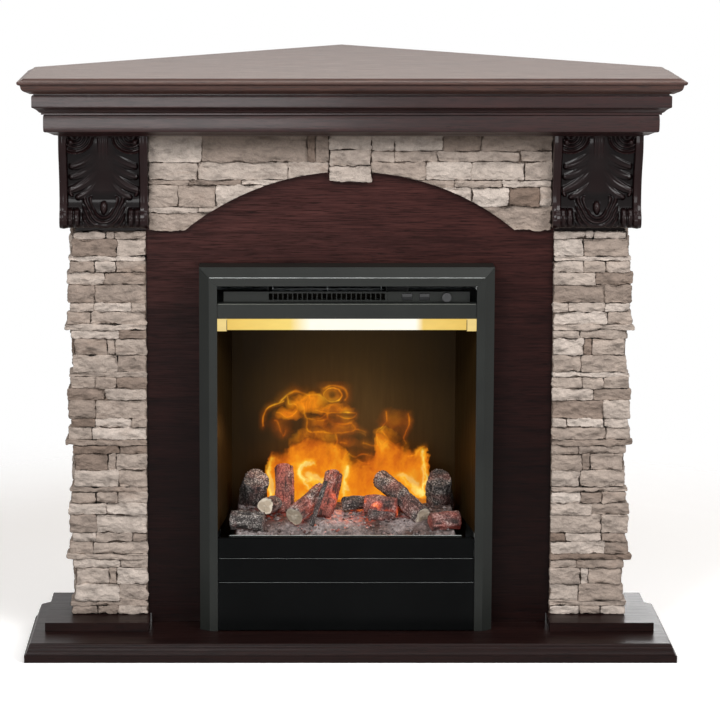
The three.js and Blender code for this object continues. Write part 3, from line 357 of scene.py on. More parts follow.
def fractal(points, size, octaves=4, seed=0, rough=0.5):
    """Rough noise from about -1 to 1; size is its largest feature in metres."""
    scaled = np.asarray(points) / size
    total, strength = 0, 1.0
    for octave in range(octaves):
        total = total + strength * smooth_noise(scaled + 17.3 * octave, seed + octave)
        scaled, strength = scaled * 2.03, strength * rough
    return total


def quads(rows, columns, wrap=False):
    """Faces of a grid of points stored row by row; wrap closes each row on itself."""
    i, j = np.meshgrid(np.arange(rows - 1), np.arange(columns - (0 if wrap else 1)), indexing="ij")
    right = (j + 1) % columns
    return np.stack([i * columns + j, i * columns + right, (i + 1) * columns + right,
                             (i + 1) * columns + j], -1).reshape(-1, 4)


def piece(name, points, faces, finish, body="fireplace", slot=None, stands_for=(), smooth=True, **values):
    mesh = bpy.data.meshes.new(name)
    mesh.from_pydata(np.asarray(points, dtype=float).tolist(), [], [list(map(int, face)) for face in faces])
    mesh.update()
    for key, value in values.items():
        layer = mesh.attributes.new(key, "FLOAT", "POINT")
        layer.data.foreach_set("value", np.asarray(value, dtype=np.float32).ravel())
    mesh.polygons.foreach_set("use_smooth", [smooth] * len(mesh.polygons))
    made = bpy.data.objects.new(name, mesh)
    made.data.materials.append(finish.material)
    scene.collection.objects.link(made)
    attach(made, body)
    if stands_for:
        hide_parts(*stands_for)
    return made


def merged(parts):
    """The points, faces and values of several meshes as those of one."""
    starts = np.cumsum([0] + [len(points) for points, _, _ in parts[:-1]])
    faces = np.concatenate([faces + start for (_, faces, _), start in zip(parts, starts)])
    values = {key: np.concatenate([np.broadcast_to(values[key], len(points)) for points, _, values in parts])
              for key in parts[0][2]}
    return np.concatenate([points for points, _, _ in parts]), faces, values


def timber(name, points, faces, finish, split=28, **values):
    """A wooden piece that is smooth up to the split angle and sharp beyond it."""
    made = piece(name, points, faces, finish, slot="wood_veneer", stands_for=(name,), **values)
    made.modifiers.new("soft_edges", "EDGE_SPLIT").split_angle = math.radians(split)


def eased(profile, turn=25, steps=4):
    """Rounds the shallow corners of a drawn profile and leaves the sharp ones."""
    out = [profile[0]]
    for before, here, after in zip(profile, profile[1:], profile[2:]):
        a, b, c = map(np.array, (before, here, after))
        angle = math.degrees(abs(math.atan2(*(c - b)[::-1]) - math.atan2(*(b - a)[::-1])))
        reach = 0.45 if angle < 60 else 0.12
        start, end = b + (a - b) * reach, b + (c - b) * reach
        for t in np.linspace(0, 1, steps + 1):
            out.append(tuple((1 - t) ** 2 * start + 2 * t * (1 - t) * b + t * t * end))
    out.append(profile[-1])
    return out


def mm(points):
    return [tuple(value / 1000 for value in point) for point in points]


def moulded_board(name, edge, half, front, corner, finish):
    """Five-sided board for a room corner; its moulding runs round the front and both sides."""
    edge = eased(edge)
    points = []
    for out, z in edge:
        h, f = half + out, front - out
        points += [(-h, f, z), (h, f, z), (h, corner - h, z), (0, corner, z), (-h, corner - h, z)]
    last = len(points)
    faces = [list(face)[::-1] for face in quads(len(edge), 5, wrap=True)]
    timber(name, points, faces + [[0, 1, 2, 3, 4], [last - 1 - k for k in range(5)]], finish)


def moulding(name, edge, half, front, back, side, corner, finish):
    """One mitred length of cornice: side 0 is the front, -1 the left and 1 the right."""
    edge = eased(edge)
    inside = front - back
    points = []
    for out, z in edge + [(inside, edge[-1][1]), (inside, edge[0][1])]:
        h, f = half + out, front - out
        if side == 0:
            points += [(-h, f, z), (h, f, z)]
        else:
            points += [(side * h, f + BOARD_GAP, z), (side * h, corner - h, z)]
    count = len(edge) + 2
    faces = [[2 * i, 2 * i + 1, 2 * ((i + 1) % count) + 1, 2 * ((i + 1) % count)] for i in range(count)]
    faces += [[2 * i for i in reversed(range(count))], [2 * i + 1 for i in range(count)]]
    timber(name, points, [face[::-1] for face in faces] if side >= 0 else faces, finish)


# -------------------- mantel, cornice and hearth
CORNER, BASE_CORNER = 0.422, 0.402  # how far back the shelf and the base reach
CORNICE_BACK = -0.300
BOARD_GAP = 0.0003  # between boards that touch
SHELF_EDGE = mm([(0, 1000), (2, 998.4), (5.5, 996.6), (11, 994.6), (11, 991.6), (9, 989.4), (5.6, 988.4), (5, 985.6),
                 (3.6, 981), (-0.6, 977.6), (-4.5, 976), (-10, 973)])
UPPER_EDGE = mm([(-4, 972.7), (-4, 969.6), (0, 969), (0, 950), (-4.5, 947.6), (-9, 944.2), (-12, 940.4), (-15, 939.4),
                 (-15, 936.3)])
LOWER_EDGE = mm([(-1.5, 936), (0, 934), (0, 908), (-2, 906), (-7, 905), (-12.5, 902.4), (-17, 899.6), (-22, 898.6),
                 (-25, 897)])
HEARTH_EDGE = mm([(0, 32), (1.6, 31), (2.8, 28.5), (3.2, 25.6), (4.6, 24.8), (5.2, 21), (6.4, 17.4), (8.2, 15),
                  (8.4, 12.8)])
moulded_board("mantel_shelf", SHELF_EDGE, 0.553, -0.378, CORNER, shelf_wood)
for name, side, finish in (("front", 0, wood_x), ("left", -1, wood_y), ("right", 1, wood_y)):
    moulding(f"cornice_upper_{name}", UPPER_EDGE, 0.541, -0.366, CORNICE_BACK, side, CORNER, finish)
    moulding(f"cornice_lower_{name}", LOWER_EDGE, 0.523, -0.348, CORNICE_BACK, side, CORNER, finish)
moulded_board("hearth_moulding", HEARTH_EDGE, 0.549, -0.413, BASE_CORNER, hearth_wood)


# -------------------- stone
def rough_block(low, high, seed, step=0.0030, rounding=0.0024, relief=0.0022):
    """A split stone: rounded, chipped edges and a broken face made of a few flats."""
    low, high = np.array(low, dtype=float), np.array(high, dtype=float)
    chance = np.random.default_rng(seed)
    middle, half = (low + high) / 2, (high - low) / 2
    radius = min(rounding, half.min() * 0.6)
    sides = []
    for axis in range(3):
        a, b = (axis + 1) % 3, (axis + 2) % 3
        for end in (-1, 1):
            pitch = 4 * step if axis == 1 and end == 1 else step  # coarser on the hidden back
            rows, columns = (max(2, int(math.ceil(2 * half[k] / pitch)) + 1) for k in (a, b))
            grid = np.zeros((rows, columns, 3))
            grid[..., axis] = end * half[axis]
            grid[..., a] = np.linspace(-half[a], half[a], rows)[:, None]
            grid[..., b] = np.linspace(-half[b], half[b], columns)
            sides.append((grid.reshape(-1, 3), quads(rows, columns)[:, ::end], {}))
    local, faces, _ = merged(sides)
    core = np.clip(local, -(half - radius), half - radius)
    outward = local - core
    length = np.linalg.norm(outward, axis=1, keepdims=True)
    outward = outward / np.maximum(length, 1e-9)
    world = core + outward * radius + middle
    flats = chance.uniform(-1, 1, (5, 3)) * np.array([0.10, 0, 0.22])
    sink = np.max([(local @ flat) + drop for flat, drop in zip(flats, chance.uniform(-0.0012, 0.0006, 5))], axis=0)
    shift = chance.uniform(0, 40, 3)
    rough = fractal((world + shift) * np.array([0.75, 0.75, 1.2]), 0.014, 5, seed % 97, 0.56)
    bite = np.maximum(0, fractal(world + shift, 0.011, 3, seed % 89) - 0.15) * 0.0022
    edge = 1 - unit((half - np.abs(local)) / 0.006)
    edge = np.sort(edge, axis=1)[:, 1]
    world = world + outward * (rough * relief - bite * (0.35 + edge))[:, None]
    facing = unit(-outward[:, 1])
    world[:, 1] += facing * np.clip(sink, -0.002, 0.004)
    return world, faces


class Masonry:
    """Collects the stones of one cladding piece."""

    def __init__(self, seed):
        self.stones = []
        self.chance = np.random.default_rng(seed)
        self.seed = seed * 1000

    def add(self, low, high, brown=None, tone=None, shape=None, plain=False):
        self.seed += 1
        world, faces = rough_block(low, high, self.seed, *((0.02, 0.0003, 0.0) if plain else ()))
        if shape is not None:
            world = shape(world)
        tone = self.chance.beta(2.2, 1.8) if tone is None else tone
        chance = self.chance.random()
        if brown is None:
            brown = 0.0 if chance < 0.84 else 0.4 + 2.5 * (chance - 0.84)
        self.stones.append((world, faces, {"tone": tone, "brown": brown}))

    def back(self, low, high, tone=0.0):
        """A plain slab behind the stones."""
        self.add(low, high, 0.3, tone, plain=True)

    def make(self, name, mirror=False):
        points, faces, values = merged(self.stones)
        if mirror:
            points, faces = points * MIRROR, faces[:, ::-1]
        piece(name, points, faces, stone, slot="ledger_stone", stands_for=(name,), **values)


MIRROR = np.array([-1, 1, 1])
BODY_TOP = 0.897
PANEL_FACE = -0.270
STONE_FACE = -0.283
BED_FACE = PANEL_FACE - 0.0048
COURSES = [  # height of a course, ends of its stones, how far each stands out, in millimetres
    (29, (54, 68, 125), (3, 0.5, 2)), (30, (50, 128), (1, 4)), (9, (135,), (2,)), (20, (52, 89, 133), (0.5, 3, 1.5)),
    (21, (72, 138), (2.5, 0)), (32, (89, 136), (1, 3.5)), (16, (26, 90, 132), (3, 0.5, 2)), (22, (95, 137), (2, 0.5)),
    (10, (142,), (4.5,)), (15, (47, 130), (0.5, 2.5))]
GAP = 0.00035  # half a joint between stones
CASE_OUTER = 0.4753
BACKING = 0.0045  # thickness of the slab behind the stones


def round_case(world):
    """Folds a corner stone round the wooden case behind it."""
    world[:, 1] = np.where(world[:, 0] < CASE_OUTER + 0.0035, np.minimum(world[:, 1], BED_FACE + 0.001), world[:, 1])
    return world


def pillar(name, mirror, seed):
    """Cladding of a pillar's front and outer side, laid from the top course down."""
    wall = Masonry(seed)
    inner, outer, bottom, top, top_course = 0.353, 0.488, 0.0483, 0.727, 12.5
    back = BASE_CORNER - outer
    wall.back((inner, BED_FACE, bottom), (CASE_OUTER + BACKING, PANEL_FACE - BOARD_GAP, top))
    wall.back((CASE_OUTER, BED_FACE, bottom), (CASE_OUTER + BACKING, back, top))
    z, number = top, 0
    while z > bottom + 1e-6:
        height, ends, proud = COURSES[number % len(COURSES)]
        low = max(z - (height if number else top_course) / 1000, bottom)
        start = inner
        stagger = 0.009 * (number % 4)
        for k, (end, out) in enumerate(zip(ends, proud)):
            end = inner + end / 1000
            front = STONE_FACE + 0.0025 - out / 1000
            depth = front + 0.048 + stagger if k == len(ends) - 1 else BED_FACE + 0.001
            wall.add((start + GAP, front, low + GAP), (end - GAP, depth, z - GAP), shape=round_case)
            start = end
        side = outer - 0.0025 + ((number * 3) % 4) / 1000
        wall.add((CASE_OUTER + 0.0035, STONE_FACE + 0.046 + stagger + GAP, low + GAP), (side, back, z - GAP))
        z, number = low, number + 1
    wall.make(name, mirror)


pillar("stone_pillar_right", False, 11)
pillar("stone_pillar_left", True, 23)

ARCH_HALF, ARCH_RISE, ARCH_SPRING = 0.285, 0.103, 0.729
ARCH_RADIUS = (ARCH_HALF ** 2 + ARCH_RISE ** 2) / (2 * ARCH_RISE)
ARCH_CENTRE = ARCH_SPRING + ARCH_RISE - ARCH_RADIUS


def arch_curve(across):
    """Height of the opening's edge at a distance from its middle."""
    curve = ARCH_CENTRE + np.sqrt(np.maximum(ARCH_RADIUS ** 2 - np.square(across), 0))
    return np.where(np.abs(across) < ARCH_HALF, curve, ARCH_SPRING)


def over_arch(world):
    """Presses a stone up onto the curve of the arch."""
    x, z = world[:, 0], world[:, 2]
    world[:, 2] = np.where(np.abs(x) < ARCH_HALF + 0.0003, np.maximum(z, arch_curve(x)), z)
    return world


def arch(name, mirror, seed, rows):
    """Half of the arch; a row has its height, its joints and the place of a brown stone, in millimetres."""
    wall = Masonry(seed)
    left, right, top = 0.0368, 0.3477, BODY_TOP - BOARD_GAP
    z = top
    for row, (height, joints, brown) in enumerate(rows):
        low = max(z - height / 1000, ARCH_SPRING)
        start = left
        for k, end in enumerate([value / 1000 for value in joints] + [right]):
            if arch_curve(end) < z - 0.001:
                front = STONE_FACE + 0.002 - ((row * 2 + k * 3) % 5) * 0.0009
                wall.add((start + GAP, front, low + GAP), (end - GAP, BED_FACE + 0.001, z - GAP),
                         0.85 if k == brown else 0.0, shape=over_arch)
            start = end
        z = low
    across = np.linspace(left, right, 60)
    under = arch_curve(across)
    for i in range(len(across) - 1):
        low = max(under[i], under[i + 1])
        if low < top - 0.002:
            wall.back((across[i], BED_FACE, low), (across[i + 1], PANEL_FACE - BOARD_GAP, top), 0.1)
    wall.make(name, mirror)


arch("stone_arch_right", False, 37, [
    (30, (77, 160, 226), None), (19, (77, 150, 292), None), (31, (130, 209, 300), None), (13, (180, 262), None),
    (33, (210, 274, 327), 2), (43, (), None)])
arch("stone_arch_left", True, 41, [
    (49, (60, 74, 256), 1), (31, (107, 263), None), (9, (188, 279), None), (38, (150, 232, 297), None),
    (10, (262,), None), (32, (), None)])

key = Masonry(53)
KEY_BOTTOM = 0.814
third = (BODY_TOP - BOARD_GAP - KEY_BOTTOM) / 3
for i, tone in enumerate((0.75, 0.6, 0.85)):
    inset = (i % 2) * 0.0015
    low = KEY_BOTTOM + i * third
    key.add((inset - 0.0365, STONE_FACE - 0.003 - inset, low + GAP),
            (0.0365 - inset, PANEL_FACE - 0.0005, low + third - GAP), 0.0, tone)
key.make("keystone")

# -------------------- carved corbels
CORBEL_INNER, CORBEL_OUTER = 0.348, 0.500
CORBEL_PROFILE = mm([(48, 0), (48, 15), (46, 29), (40.5, 45), (34, 61), (29.5, 79), (27, 99), (27, 119), (30, 131),
                     (35, 137), (38, 145), (37, 154), (31, 160), (23, 162), (14, 161)])
# one side of the acanthus, in millimetres out from the middle and down from the top:
# start, bend and tip of a lobe, its half-width and its height
LOBES = [
    ((8, 26), (24, 50), (53, 56), 10, 5.4), ((7, 40), (22, 66), (54, 74), 9, 5.0),
    ((6, 52), (20, 84), (56, 96), 9.5, 6.6), ((6, 66), (16, 98), (44, 108), 8, 5.8),
    ((53, 90), (61, 96), (55, 105), 4.5, 7.4)]
SHELL = {"aside": 48, "down": -1, "reach": 32, "button": (55, 11)}
BEAD = {"down": 124, "wide": 6.5, "tall": 10.0}


def lobe_height(x, z, start, bend, tip, width, height):
    """Height of one curved lobe: a smooth ridge with a groove on each side of its crest."""
    t = np.linspace(0, 1, 18)[:, None]
    curve = (1 - t) ** 2 * np.array(start) + 2 * t * (1 - t) * np.array(bend) + t * t * np.array(tip)
    best, along, aside = np.full(x.shape, 1e9), np.zeros(x.shape), np.zeros(x.shape)
    for k in range(len(curve) - 1):
        (ax, az), (bx, bz) = curve[k], curve[k + 1]
        dx, dz = bx - ax, bz - az
        part = unit(((x - ax) * dx + (z - az) * dz) / (dx * dx + dz * dz))
        far = np.hypot(x - ax - part * dx, z - az - part * dz)
        side = ((x - ax) * dz - (z - az) * dx) / math.hypot(dx, dz)
        closer = far < best
        best = np.where(closer, far, best)
        along = np.where(closer, (k + part) / (len(curve) - 1), along)
        aside = np.where(closer, side, aside)
    spread = width * (0.45 + 0.55 * np.sin(np.pi * unit(along * 0.75 + 0.12)))
    s = unit(best / spread)
    ridge = (1 - s ** 2) ** 0.6
    rib = 0.9 + 0.1 * np.cos(2 * np.pi * aside / 6.5)
    return height * ridge * rib * (0.4 + 0.6 * along ** 0.7)


def corbel(name, mirror):
    """A carved bracket; its relief is drawn over the scroll in millimetres, u out and v down."""
    rows, columns = 200, 170
    profile = np.array(eased(CORBEL_PROFILE, steps=6))
    travelled = np.concatenate([[0], np.cumsum(np.linalg.norm(np.diff(profile, axis=0), axis=1))])
    spread = np.linspace(0, travelled[-1], rows)
    out = np.interp(spread, travelled, profile[:, 0])
    down = np.interp(spread, travelled, profile[:, 1])
    tangent = np.stack([np.gradient(out), np.gradient(down)], -1)
    tangent /= np.linalg.norm(tangent, axis=1, keepdims=True)
    across = np.linspace(CORBEL_INNER, CORBEL_OUTER, columns)
    middle = (CORBEL_INNER + CORBEL_OUTER) / 2
    x, z = np.meshgrid((across - middle) * 1000, down * 1000)
    u, v = np.abs(x).ravel(), z.ravel()
    carving = 4.2 * bell(u, 20 + 0.16 * v) * unit((112 - v) / 14)
    for lobe in LOBES:
        carving = np.maximum(carving, lobe_height(u, v, *lobe))
    # fluted stem
    stem = (5.8 + 1.1 * np.cos(2 * np.pi * u / 7.0)) * unit(1 - (u / 11.5) ** 4)
    carving = np.maximum(carving, stem * unit((64 - v) / 34))
    # shell with concentric ribs in the top corner, its bright rim and its button
    r = np.hypot(u - SHELL["aside"], v - SHELL["down"])
    shell = (3.4 + 1.7 * np.cos(2 * np.pi * r / 7.0)) * unit((SHELL["reach"] - r) / 2)
    rim = 7.4 * bell(r - SHELL["reach"], 2.0) * unit((u - 13) / 4)
    button_x, button_z = SHELL["button"]
    button = 8 * np.sqrt(unit(1 - ((u - button_x) / 5) ** 2 - ((v - button_z) / 6.5) ** 2))
    carving = np.maximum(carving, np.maximum(np.maximum(shell, rim), button))
    # palmette over the foot: ribs that flare round a hanging bead, and a rim under it
    flare = 1 + 0.7 * unit((136 - v) / 32) ** 1.5
    ring = np.hypot(u / (16.5 * flare), (v - 120) / 22)
    ribs = (4.0 + 2.0 * np.cos(2 * np.pi * (ring - 1) * 16.5 / 7.2)) * unit((v - 104) / 5)
    ribs *= unit((38 - u) / 5)
    bead_x, bead_z = u / BEAD["wide"], (v - BEAD["down"]) / BEAD["tall"]
    bead = 8.2 * np.sqrt(unit(1 - bead_x ** 2 - bead_z ** 2))
    under = 6.8 * bell(ring - 1, 0.10) * (v > 126)
    cup = (ring < 0.95) & (v > 106)
    carving = np.where(cup, np.minimum(carving, 2.2), np.maximum(carving, ribs))
    carving = np.maximum(carving, np.maximum(bead, under))
    roll = 5.2 * unit((v - 124) / 6) * unit((u - 40) / 4)
    groove = 3.0 * bell(u - 52, 2.0)
    carving = (np.maximum(carving, roll) - groove * (v > 126)).reshape(x.shape)
    edge = unit((63 - np.abs(x)) / 2.0)
    foot = unit((163 - z) / 6) * unit(z / 4)
    relief = (-7.0 + np.minimum(carving, 9) * unit((63 - np.abs(x)) / 3.0)) * edge * foot / 1000
    rail = unit(1 - np.abs(np.abs(x) - 69.5) / 5.5) * 0.0012
    relief = relief + rail
    front = np.zeros((rows, columns, 3))
    front[..., 0] = across[None, :]
    front[..., 1] = np.minimum(PANEL_FACE - (out[:, None] + relief * tangent[:, 1:2]), PANEL_FACE - 0.0008)
    top = BODY_TOP - BOARD_GAP
    front[..., 2] = np.minimum(top - (down[:, None] - relief * tangent[:, 0:1]), top)
    rear = front.copy()
    rear[..., 1] = PANEL_FACE - BOARD_GAP
    points = np.concatenate([front.reshape(-1, 3), rear.reshape(-1, 3)])
    count = rows * columns
    index = np.arange(count).reshape(rows, columns)
    rim = [*index[0], *index[1:, -1], *index[-1, -2::-1], *index[-2:0:-1, 0]]
    faces = list(quads(rows, columns)) + [[count + i for i in rim]]
    faces += [[a, count + a, count + b, b] for a, b in zip(rim, rim[1:] + rim[:1])]
    height = np.concatenate([((relief * 1000 + 7) / 8).ravel(), np.full(count, 0.7)])
    if mirror:
        points = points * MIRROR
        faces = [list(face)[::-1] for face in faces]
    timber(name, points, faces, carved, split=50, height=height)


corbel("corbel_right", False)
corbel("corbel_left", True)


# -------------------- logs and embers
FIRE_X = -0.006
BED_TOP = 0.193
ASH = BED_TOP + 0.012
MM_LOGS = [  # name, from, to, radius, end radius, reddish, glowing, cut end
    ("log_left", (-166, -160, 8), (-157, -204, 70), 26, 23, 0.03, 0.0, 0.0),
    ("log_right", (170, -160, 8), (168, -202, 70), 26, 22, 0.08, 0.0, 0.0),
    ("log_cross", (64, -182, 66), (136, -274, 18), 17, 17, 0.15, 0.05, 1.0),
    ("log_front", (-40, -214, 52), (-90, -290, 21), 15, 17, 0.45, 0.25, 1.0),
    (None, (-200, -282, 13), (-143, -292, 13), 17, 17, 0.0, 0.0, 0.0),
    (None, (-112, -196, 24), (-140, -270, 36), 14, 15, 0.1, 0.05, 1.0),
    (None, (-104, -232, 10), (-108, -180, 86), 17, 16, 0.85, 0.25, 0.0),
    (None, (-60, -296, 6), (-34, -262, 78), 4, 3, 0.02, 0.0, 0.0),
    (None, (-40, -250, 6), (-18, -190, 76), 18, 15, 0.9, 0.35, 0.0),
    (None, (-2, -240, 34), (44, -222, 30), 12, 11, 0.05, 0.0, 0.0),
    (None, (36, -240, 30), (92, -250, 30), 19, 16, 0.8, 1.0, 0.0),
    (None, (40, -262, 18), (86, -254, 14), 12, 10, 0.1, 0.1, 0.0),
    (None, (198, -278, 12), (148, -292, 12), 16, 16, 0.55, 0.05, 0.0),
]


def bark_log(start, end, radius, end_radius, seed, cut):
    """A short charred log: fissured bark, and growth rings on its ends."""
    a, b = np.array(start), np.array(end)
    along = b - a
    length = np.linalg.norm(along)
    along = along / length
    side = np.cross(along, [0.0, 0.0, 1.0])
    side /= np.linalg.norm(side)
    up = np.cross(side, along)
    around = max(28, int(2 * math.pi * radius / 0.0022))
    rings = max(10, int(length / 0.0025))
    caps = 5
    t = np.concatenate([np.zeros(caps), np.linspace(0, 1, rings), np.ones(caps)])
    shrink = np.concatenate([np.linspace(0.02, 0.9, caps), np.ones(rings), np.linspace(0.9, 0.02, caps)])
    T, A = np.meshgrid(t, np.linspace(0, 2 * math.pi, around, endpoint=False), indexing="ij")
    S = np.broadcast_to(shrink[:, None], T.shape)
    space = np.stack([np.cos(A) * 0.03, np.sin(A) * 0.03, T * length * 0.35 + seed], -1)
    ridge = 1 - np.abs(fractal(space, 0.011, 4, seed, 0.6))
    lump = fractal(space, 0.05, 2, seed + 5)
    r = (radius + (end_radius - radius) * T) * (1 + 0.06 * np.sin(3 * A + seed + 6 * T) + 0.06 * lump)
    r = r * S + (ridge - 0.75) * 0.0034 * (S > 0.95)
    centre = a + (b - a) * T[..., None]
    bump = fractal(centre + np.stack([np.cos(A), np.sin(A), S], -1) * 0.03, 0.006, 3, seed) * 0.0009
    sunk = (0.0006 * np.sin(S * 26) + bump) * (S < 0.95) * np.where(T > 0.5, 1, -1)
    points = (centre + side * (np.cos(A) * r)[..., None] + up * (np.sin(A) * r)[..., None] + along * sunk[..., None])
    values = {"cut": np.where((S < 0.93) & (T > 0.5), cut, 0.0), "rings": 0.5 + 0.5 * np.sin(S * 24 + 2 * lump),
              "fissure": ridge * (S > 0.95) + (S <= 0.95)}
    faces = quads(len(t), around, wrap=True)[:, ::-1]
    return points.reshape(-1, 3), faces, {key: value.ravel() for key, value in values.items()}


def in_fire(point):
    return (point[0] / 1000 + FIRE_X, point[1] / 1000, point[2] / 1000 + ASH)


cast = []
for number, (name, start, end, radius, end_radius, red, glowing, cut) in enumerate(MM_LOGS):
    points, faces, values = bark_log(in_fire(start), in_fire(end), radius / 1000, end_radius / 1000, 3 + number, cut)
    low = unit((ASH + 0.05 - points[:, 2]) / 0.05)
    redness = unit(red + 0.5 * fractal(points, 0.02, 3, 9) + 0.25 * low - 0.1)
    heat = unit(glowing * (0.5 + fractal(points, 0.022, 3, 4)) + 0.25 * low * red)
    values["red"], values["glow"] = redness * (1 - values["cut"]), heat * (1 - values["cut"])
    if name:
        piece(name, points, faces, bark, "ember_bed", "log_resin", stands_for=(name,), **values)
    else:
        cast.append((points, faces, values))
points, faces, values = merged(cast)
piece("cast_logs", points, faces, bark, "ember_bed", "ember_resin", **values)

# ash slope between the logs
TRAY_HALF = 0.195
BED_FRONT, BED_BACK = -0.3187, -0.118
SLOPE_AT = [BED_FRONT + 0.008, BED_FRONT + 0.02, BED_FRONT + 0.05, BED_FRONT + 0.09, BED_BACK]
SLOPE_TOP = [BED_TOP - 0.004, BED_TOP + 0.006, BED_TOP + 0.020, BED_TOP + 0.029, BED_TOP + 0.032]
columns, rows = 240, 130
x, y = np.meshgrid(np.linspace(-TRAY_HALF, TRAY_HALF, columns) + FIRE_X, np.linspace(SLOPE_AT[0], BED_BACK, rows))
flat = np.stack([x, y, np.zeros_like(x)], -1)
z = np.interp(y, SLOPE_AT, SLOPE_TOP) + fractal(flat, 0.035, 5, 3, 0.55) * 0.0035
z += np.maximum(0, fractal(flat, 0.012, 3, 8)) * 0.004
skirt = BED_TOP - 0.012
z = skirt + (z - skirt) * np.minimum(1, (TRAY_HALF - np.abs(x - FIRE_X)) / 0.006)
hearth = bell(x - FIRE_X + 0.02, 0.10) * unit((y - BED_FRONT - 0.03) / 0.03)
glowing = unit(hearth * (0.55 + 0.9 * fractal(flat, 0.03, 3, 12)))
char = unit(0.35 + 0.7 * fractal(flat, 0.045, 3, 15) + 0.4 * hearth)
piece("ash_slope", np.stack([x, y, z], -1).reshape(-1, 3), quads(rows, columns), ash, "ember_bed",
      "ember_resin", glow=glowing, char=char)

# crumbs of ash and coal on the slope
chance = np.random.default_rng(71)
shape = np.array([(1, 0, 0), (0, 1, 0), (-1, 0, 0), (0, -1, 0), (0, 0, 0.8), (0, 0, -0.8)], dtype=float)
octa = np.array([(0, 1, 4), (1, 2, 4), (2, 3, 4), (3, 0, 4), (1, 0, 5), (2, 1, 5), (3, 2, 5), (0, 3, 5)])
crumbs = []
for _ in range(900):
    px, py = chance.uniform(-0.185, 0.185) + FIRE_X, BED_FRONT + 0.012 + 0.15 * chance.random() ** 1.3
    size = chance.uniform(0.0012, 0.0042)
    jitter = shape * chance.uniform(0.6, 1.3, (6, 1)) * size
    turn = chance.uniform(0, math.pi)
    spin = np.array([[math.cos(turn), -math.sin(turn), 0], [math.sin(turn), math.cos(turn), 0], [0, 0, 1]])
    near = math.exp(-((px - FIRE_X + 0.02) / 0.09) ** 2)
    glowing = near * (chance.random() < 0.35) * chance.uniform(0.5, 1)
    place = (px, py, np.interp(py, SLOPE_AT, SLOPE_TOP) + size * 0.5)
    crumbs.append((jitter @ spin.T + place, octa, {"glow": glowing, "char": chance.random()}))
points, faces, values = merged(crumbs)
piece("ash_crumbs", points, faces, ash, "ember_bed", "ember_resin", smooth=False, **values)


# -------------------- steel tray, rubbed edges and strips of painted highlight
def plate(name, low, high, finish, body="fireplace", slot="black_steel"):
    points = [(x, y, z) for x in (low[0], high[0]) for y in (low[1], high[1]) for z in (low[2], high[2])]
    faces = [(0, 1, 3, 2), (4, 6, 7, 5), (0, 4, 5, 1), (2, 3, 7, 6), (0, 2, 6, 4), (1, 5, 7, 3)]
    made = piece(name, points, faces, finish, body, slot, smooth=False)
    edge = made.modifiers.new("edge", "BEVEL")
    edge.width, edge.segments = 0.0005, 2
    return made


(left, front, bottom), (right, back, _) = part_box("fuel_bed")
LIFT_CLEARANCE = 0.003  # so that the plate passes the liners when the bed lifts
tray = plate("bed_plate", (left + LIFT_CLEARANCE, front, bottom), (right - LIFT_CLEARANCE, back, bottom + 0.004), steel,
             "ember_bed")
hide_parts("fuel_bed")
for name, near, far, over in (("front", 0.0, 0.0025, 0.006), ("rear", 0.0045, 0.008, 0.001)):
    y, z = front + near, BED_TOP + over
    plate(f"bed_rail_{name}", (left, y, bottom + 0.001), (right, front + far, z), steel, "ember_bed")
    plate(f"bed_lip_{name}", (left + 0.001, y + 0.0002, z - 0.0006), (right - 0.001, y + 0.0022, z + 0.0004),
          worn_edge_and_highlight, "ember_bed")
(left, front, _), (right, _, _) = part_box("drawer_front")
TREAD = 0.0032
# painted highlights: bright strips along the top edges of the drawer's lower bands
for name, z, y in (("upper", 0.161, front + TREAD), ("lower", 0.119, front)):
    plate(f"tread_highlight_{name}", (left + 0.001, y + 0.0001, z - 0.0021), (right - 0.001, y + 0.0030, z + 0.0003),
          worn_edge_and_highlight, "drawer")
(left, front, _), (right, _, top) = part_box("hood_bar")
# painted highlight: a bright strip along the top of the hood bar
plate("hood_highlight", (left + 0.001, front + 0.0001, top - 0.0014), (right - 0.001, front + 0.002, top - 0.0001), highlight_steel)
# painted highlight: a bright strip along the lower edge of the trim's top bevel
plate("trim_highlight", (-0.2425, -0.3349, 0.6537), (0.2305, -0.3330, 0.6549), worn_edge_and_highlight)
for name, inner in (("left", 1), ("right", 0)):  # dark joint between the light and its end cap
    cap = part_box(f"light_cap_{name}")
    (_, front, bottom), (_, _, top) = cap
    plate(f"light_seam_{name}", (cap[inner][0] - 0.0006, front + 0.0001, bottom + 0.001),
          (cap[inner][0] + 0.0006, front + 0.003, top - 0.001), plastic, slot="dark_plastic")

# -------------------- flames
flame = Finish("mist_flame")
hue = flame.ramp(flame.attribute("warmth"), (0.0, (0.20, 0.045, 0.008)), (0.3, (0.66, 0.135, 0.010)),
                 (0.55, (0.90, 0.27, 0.010)), (0.8, (1.0, 0.50, 0.03)), (1.0, (1.0, 0.82, 0.22)))
fire = flame.add("Emission", {"Color": hue, "Strength": 1.05}).outputs["Emission"]
clear = flame.add("BsdfTransparent").outputs["BSDF"]
misty = flame.add("MixShader", {0: flame.attribute("veil"), 1: clear, 2: fire}).outputs["Shader"]
flame.feed(flame.tree.nodes["Material Output"].inputs["Surface"], misty)
flame.tree.nodes.remove(flame.shader)

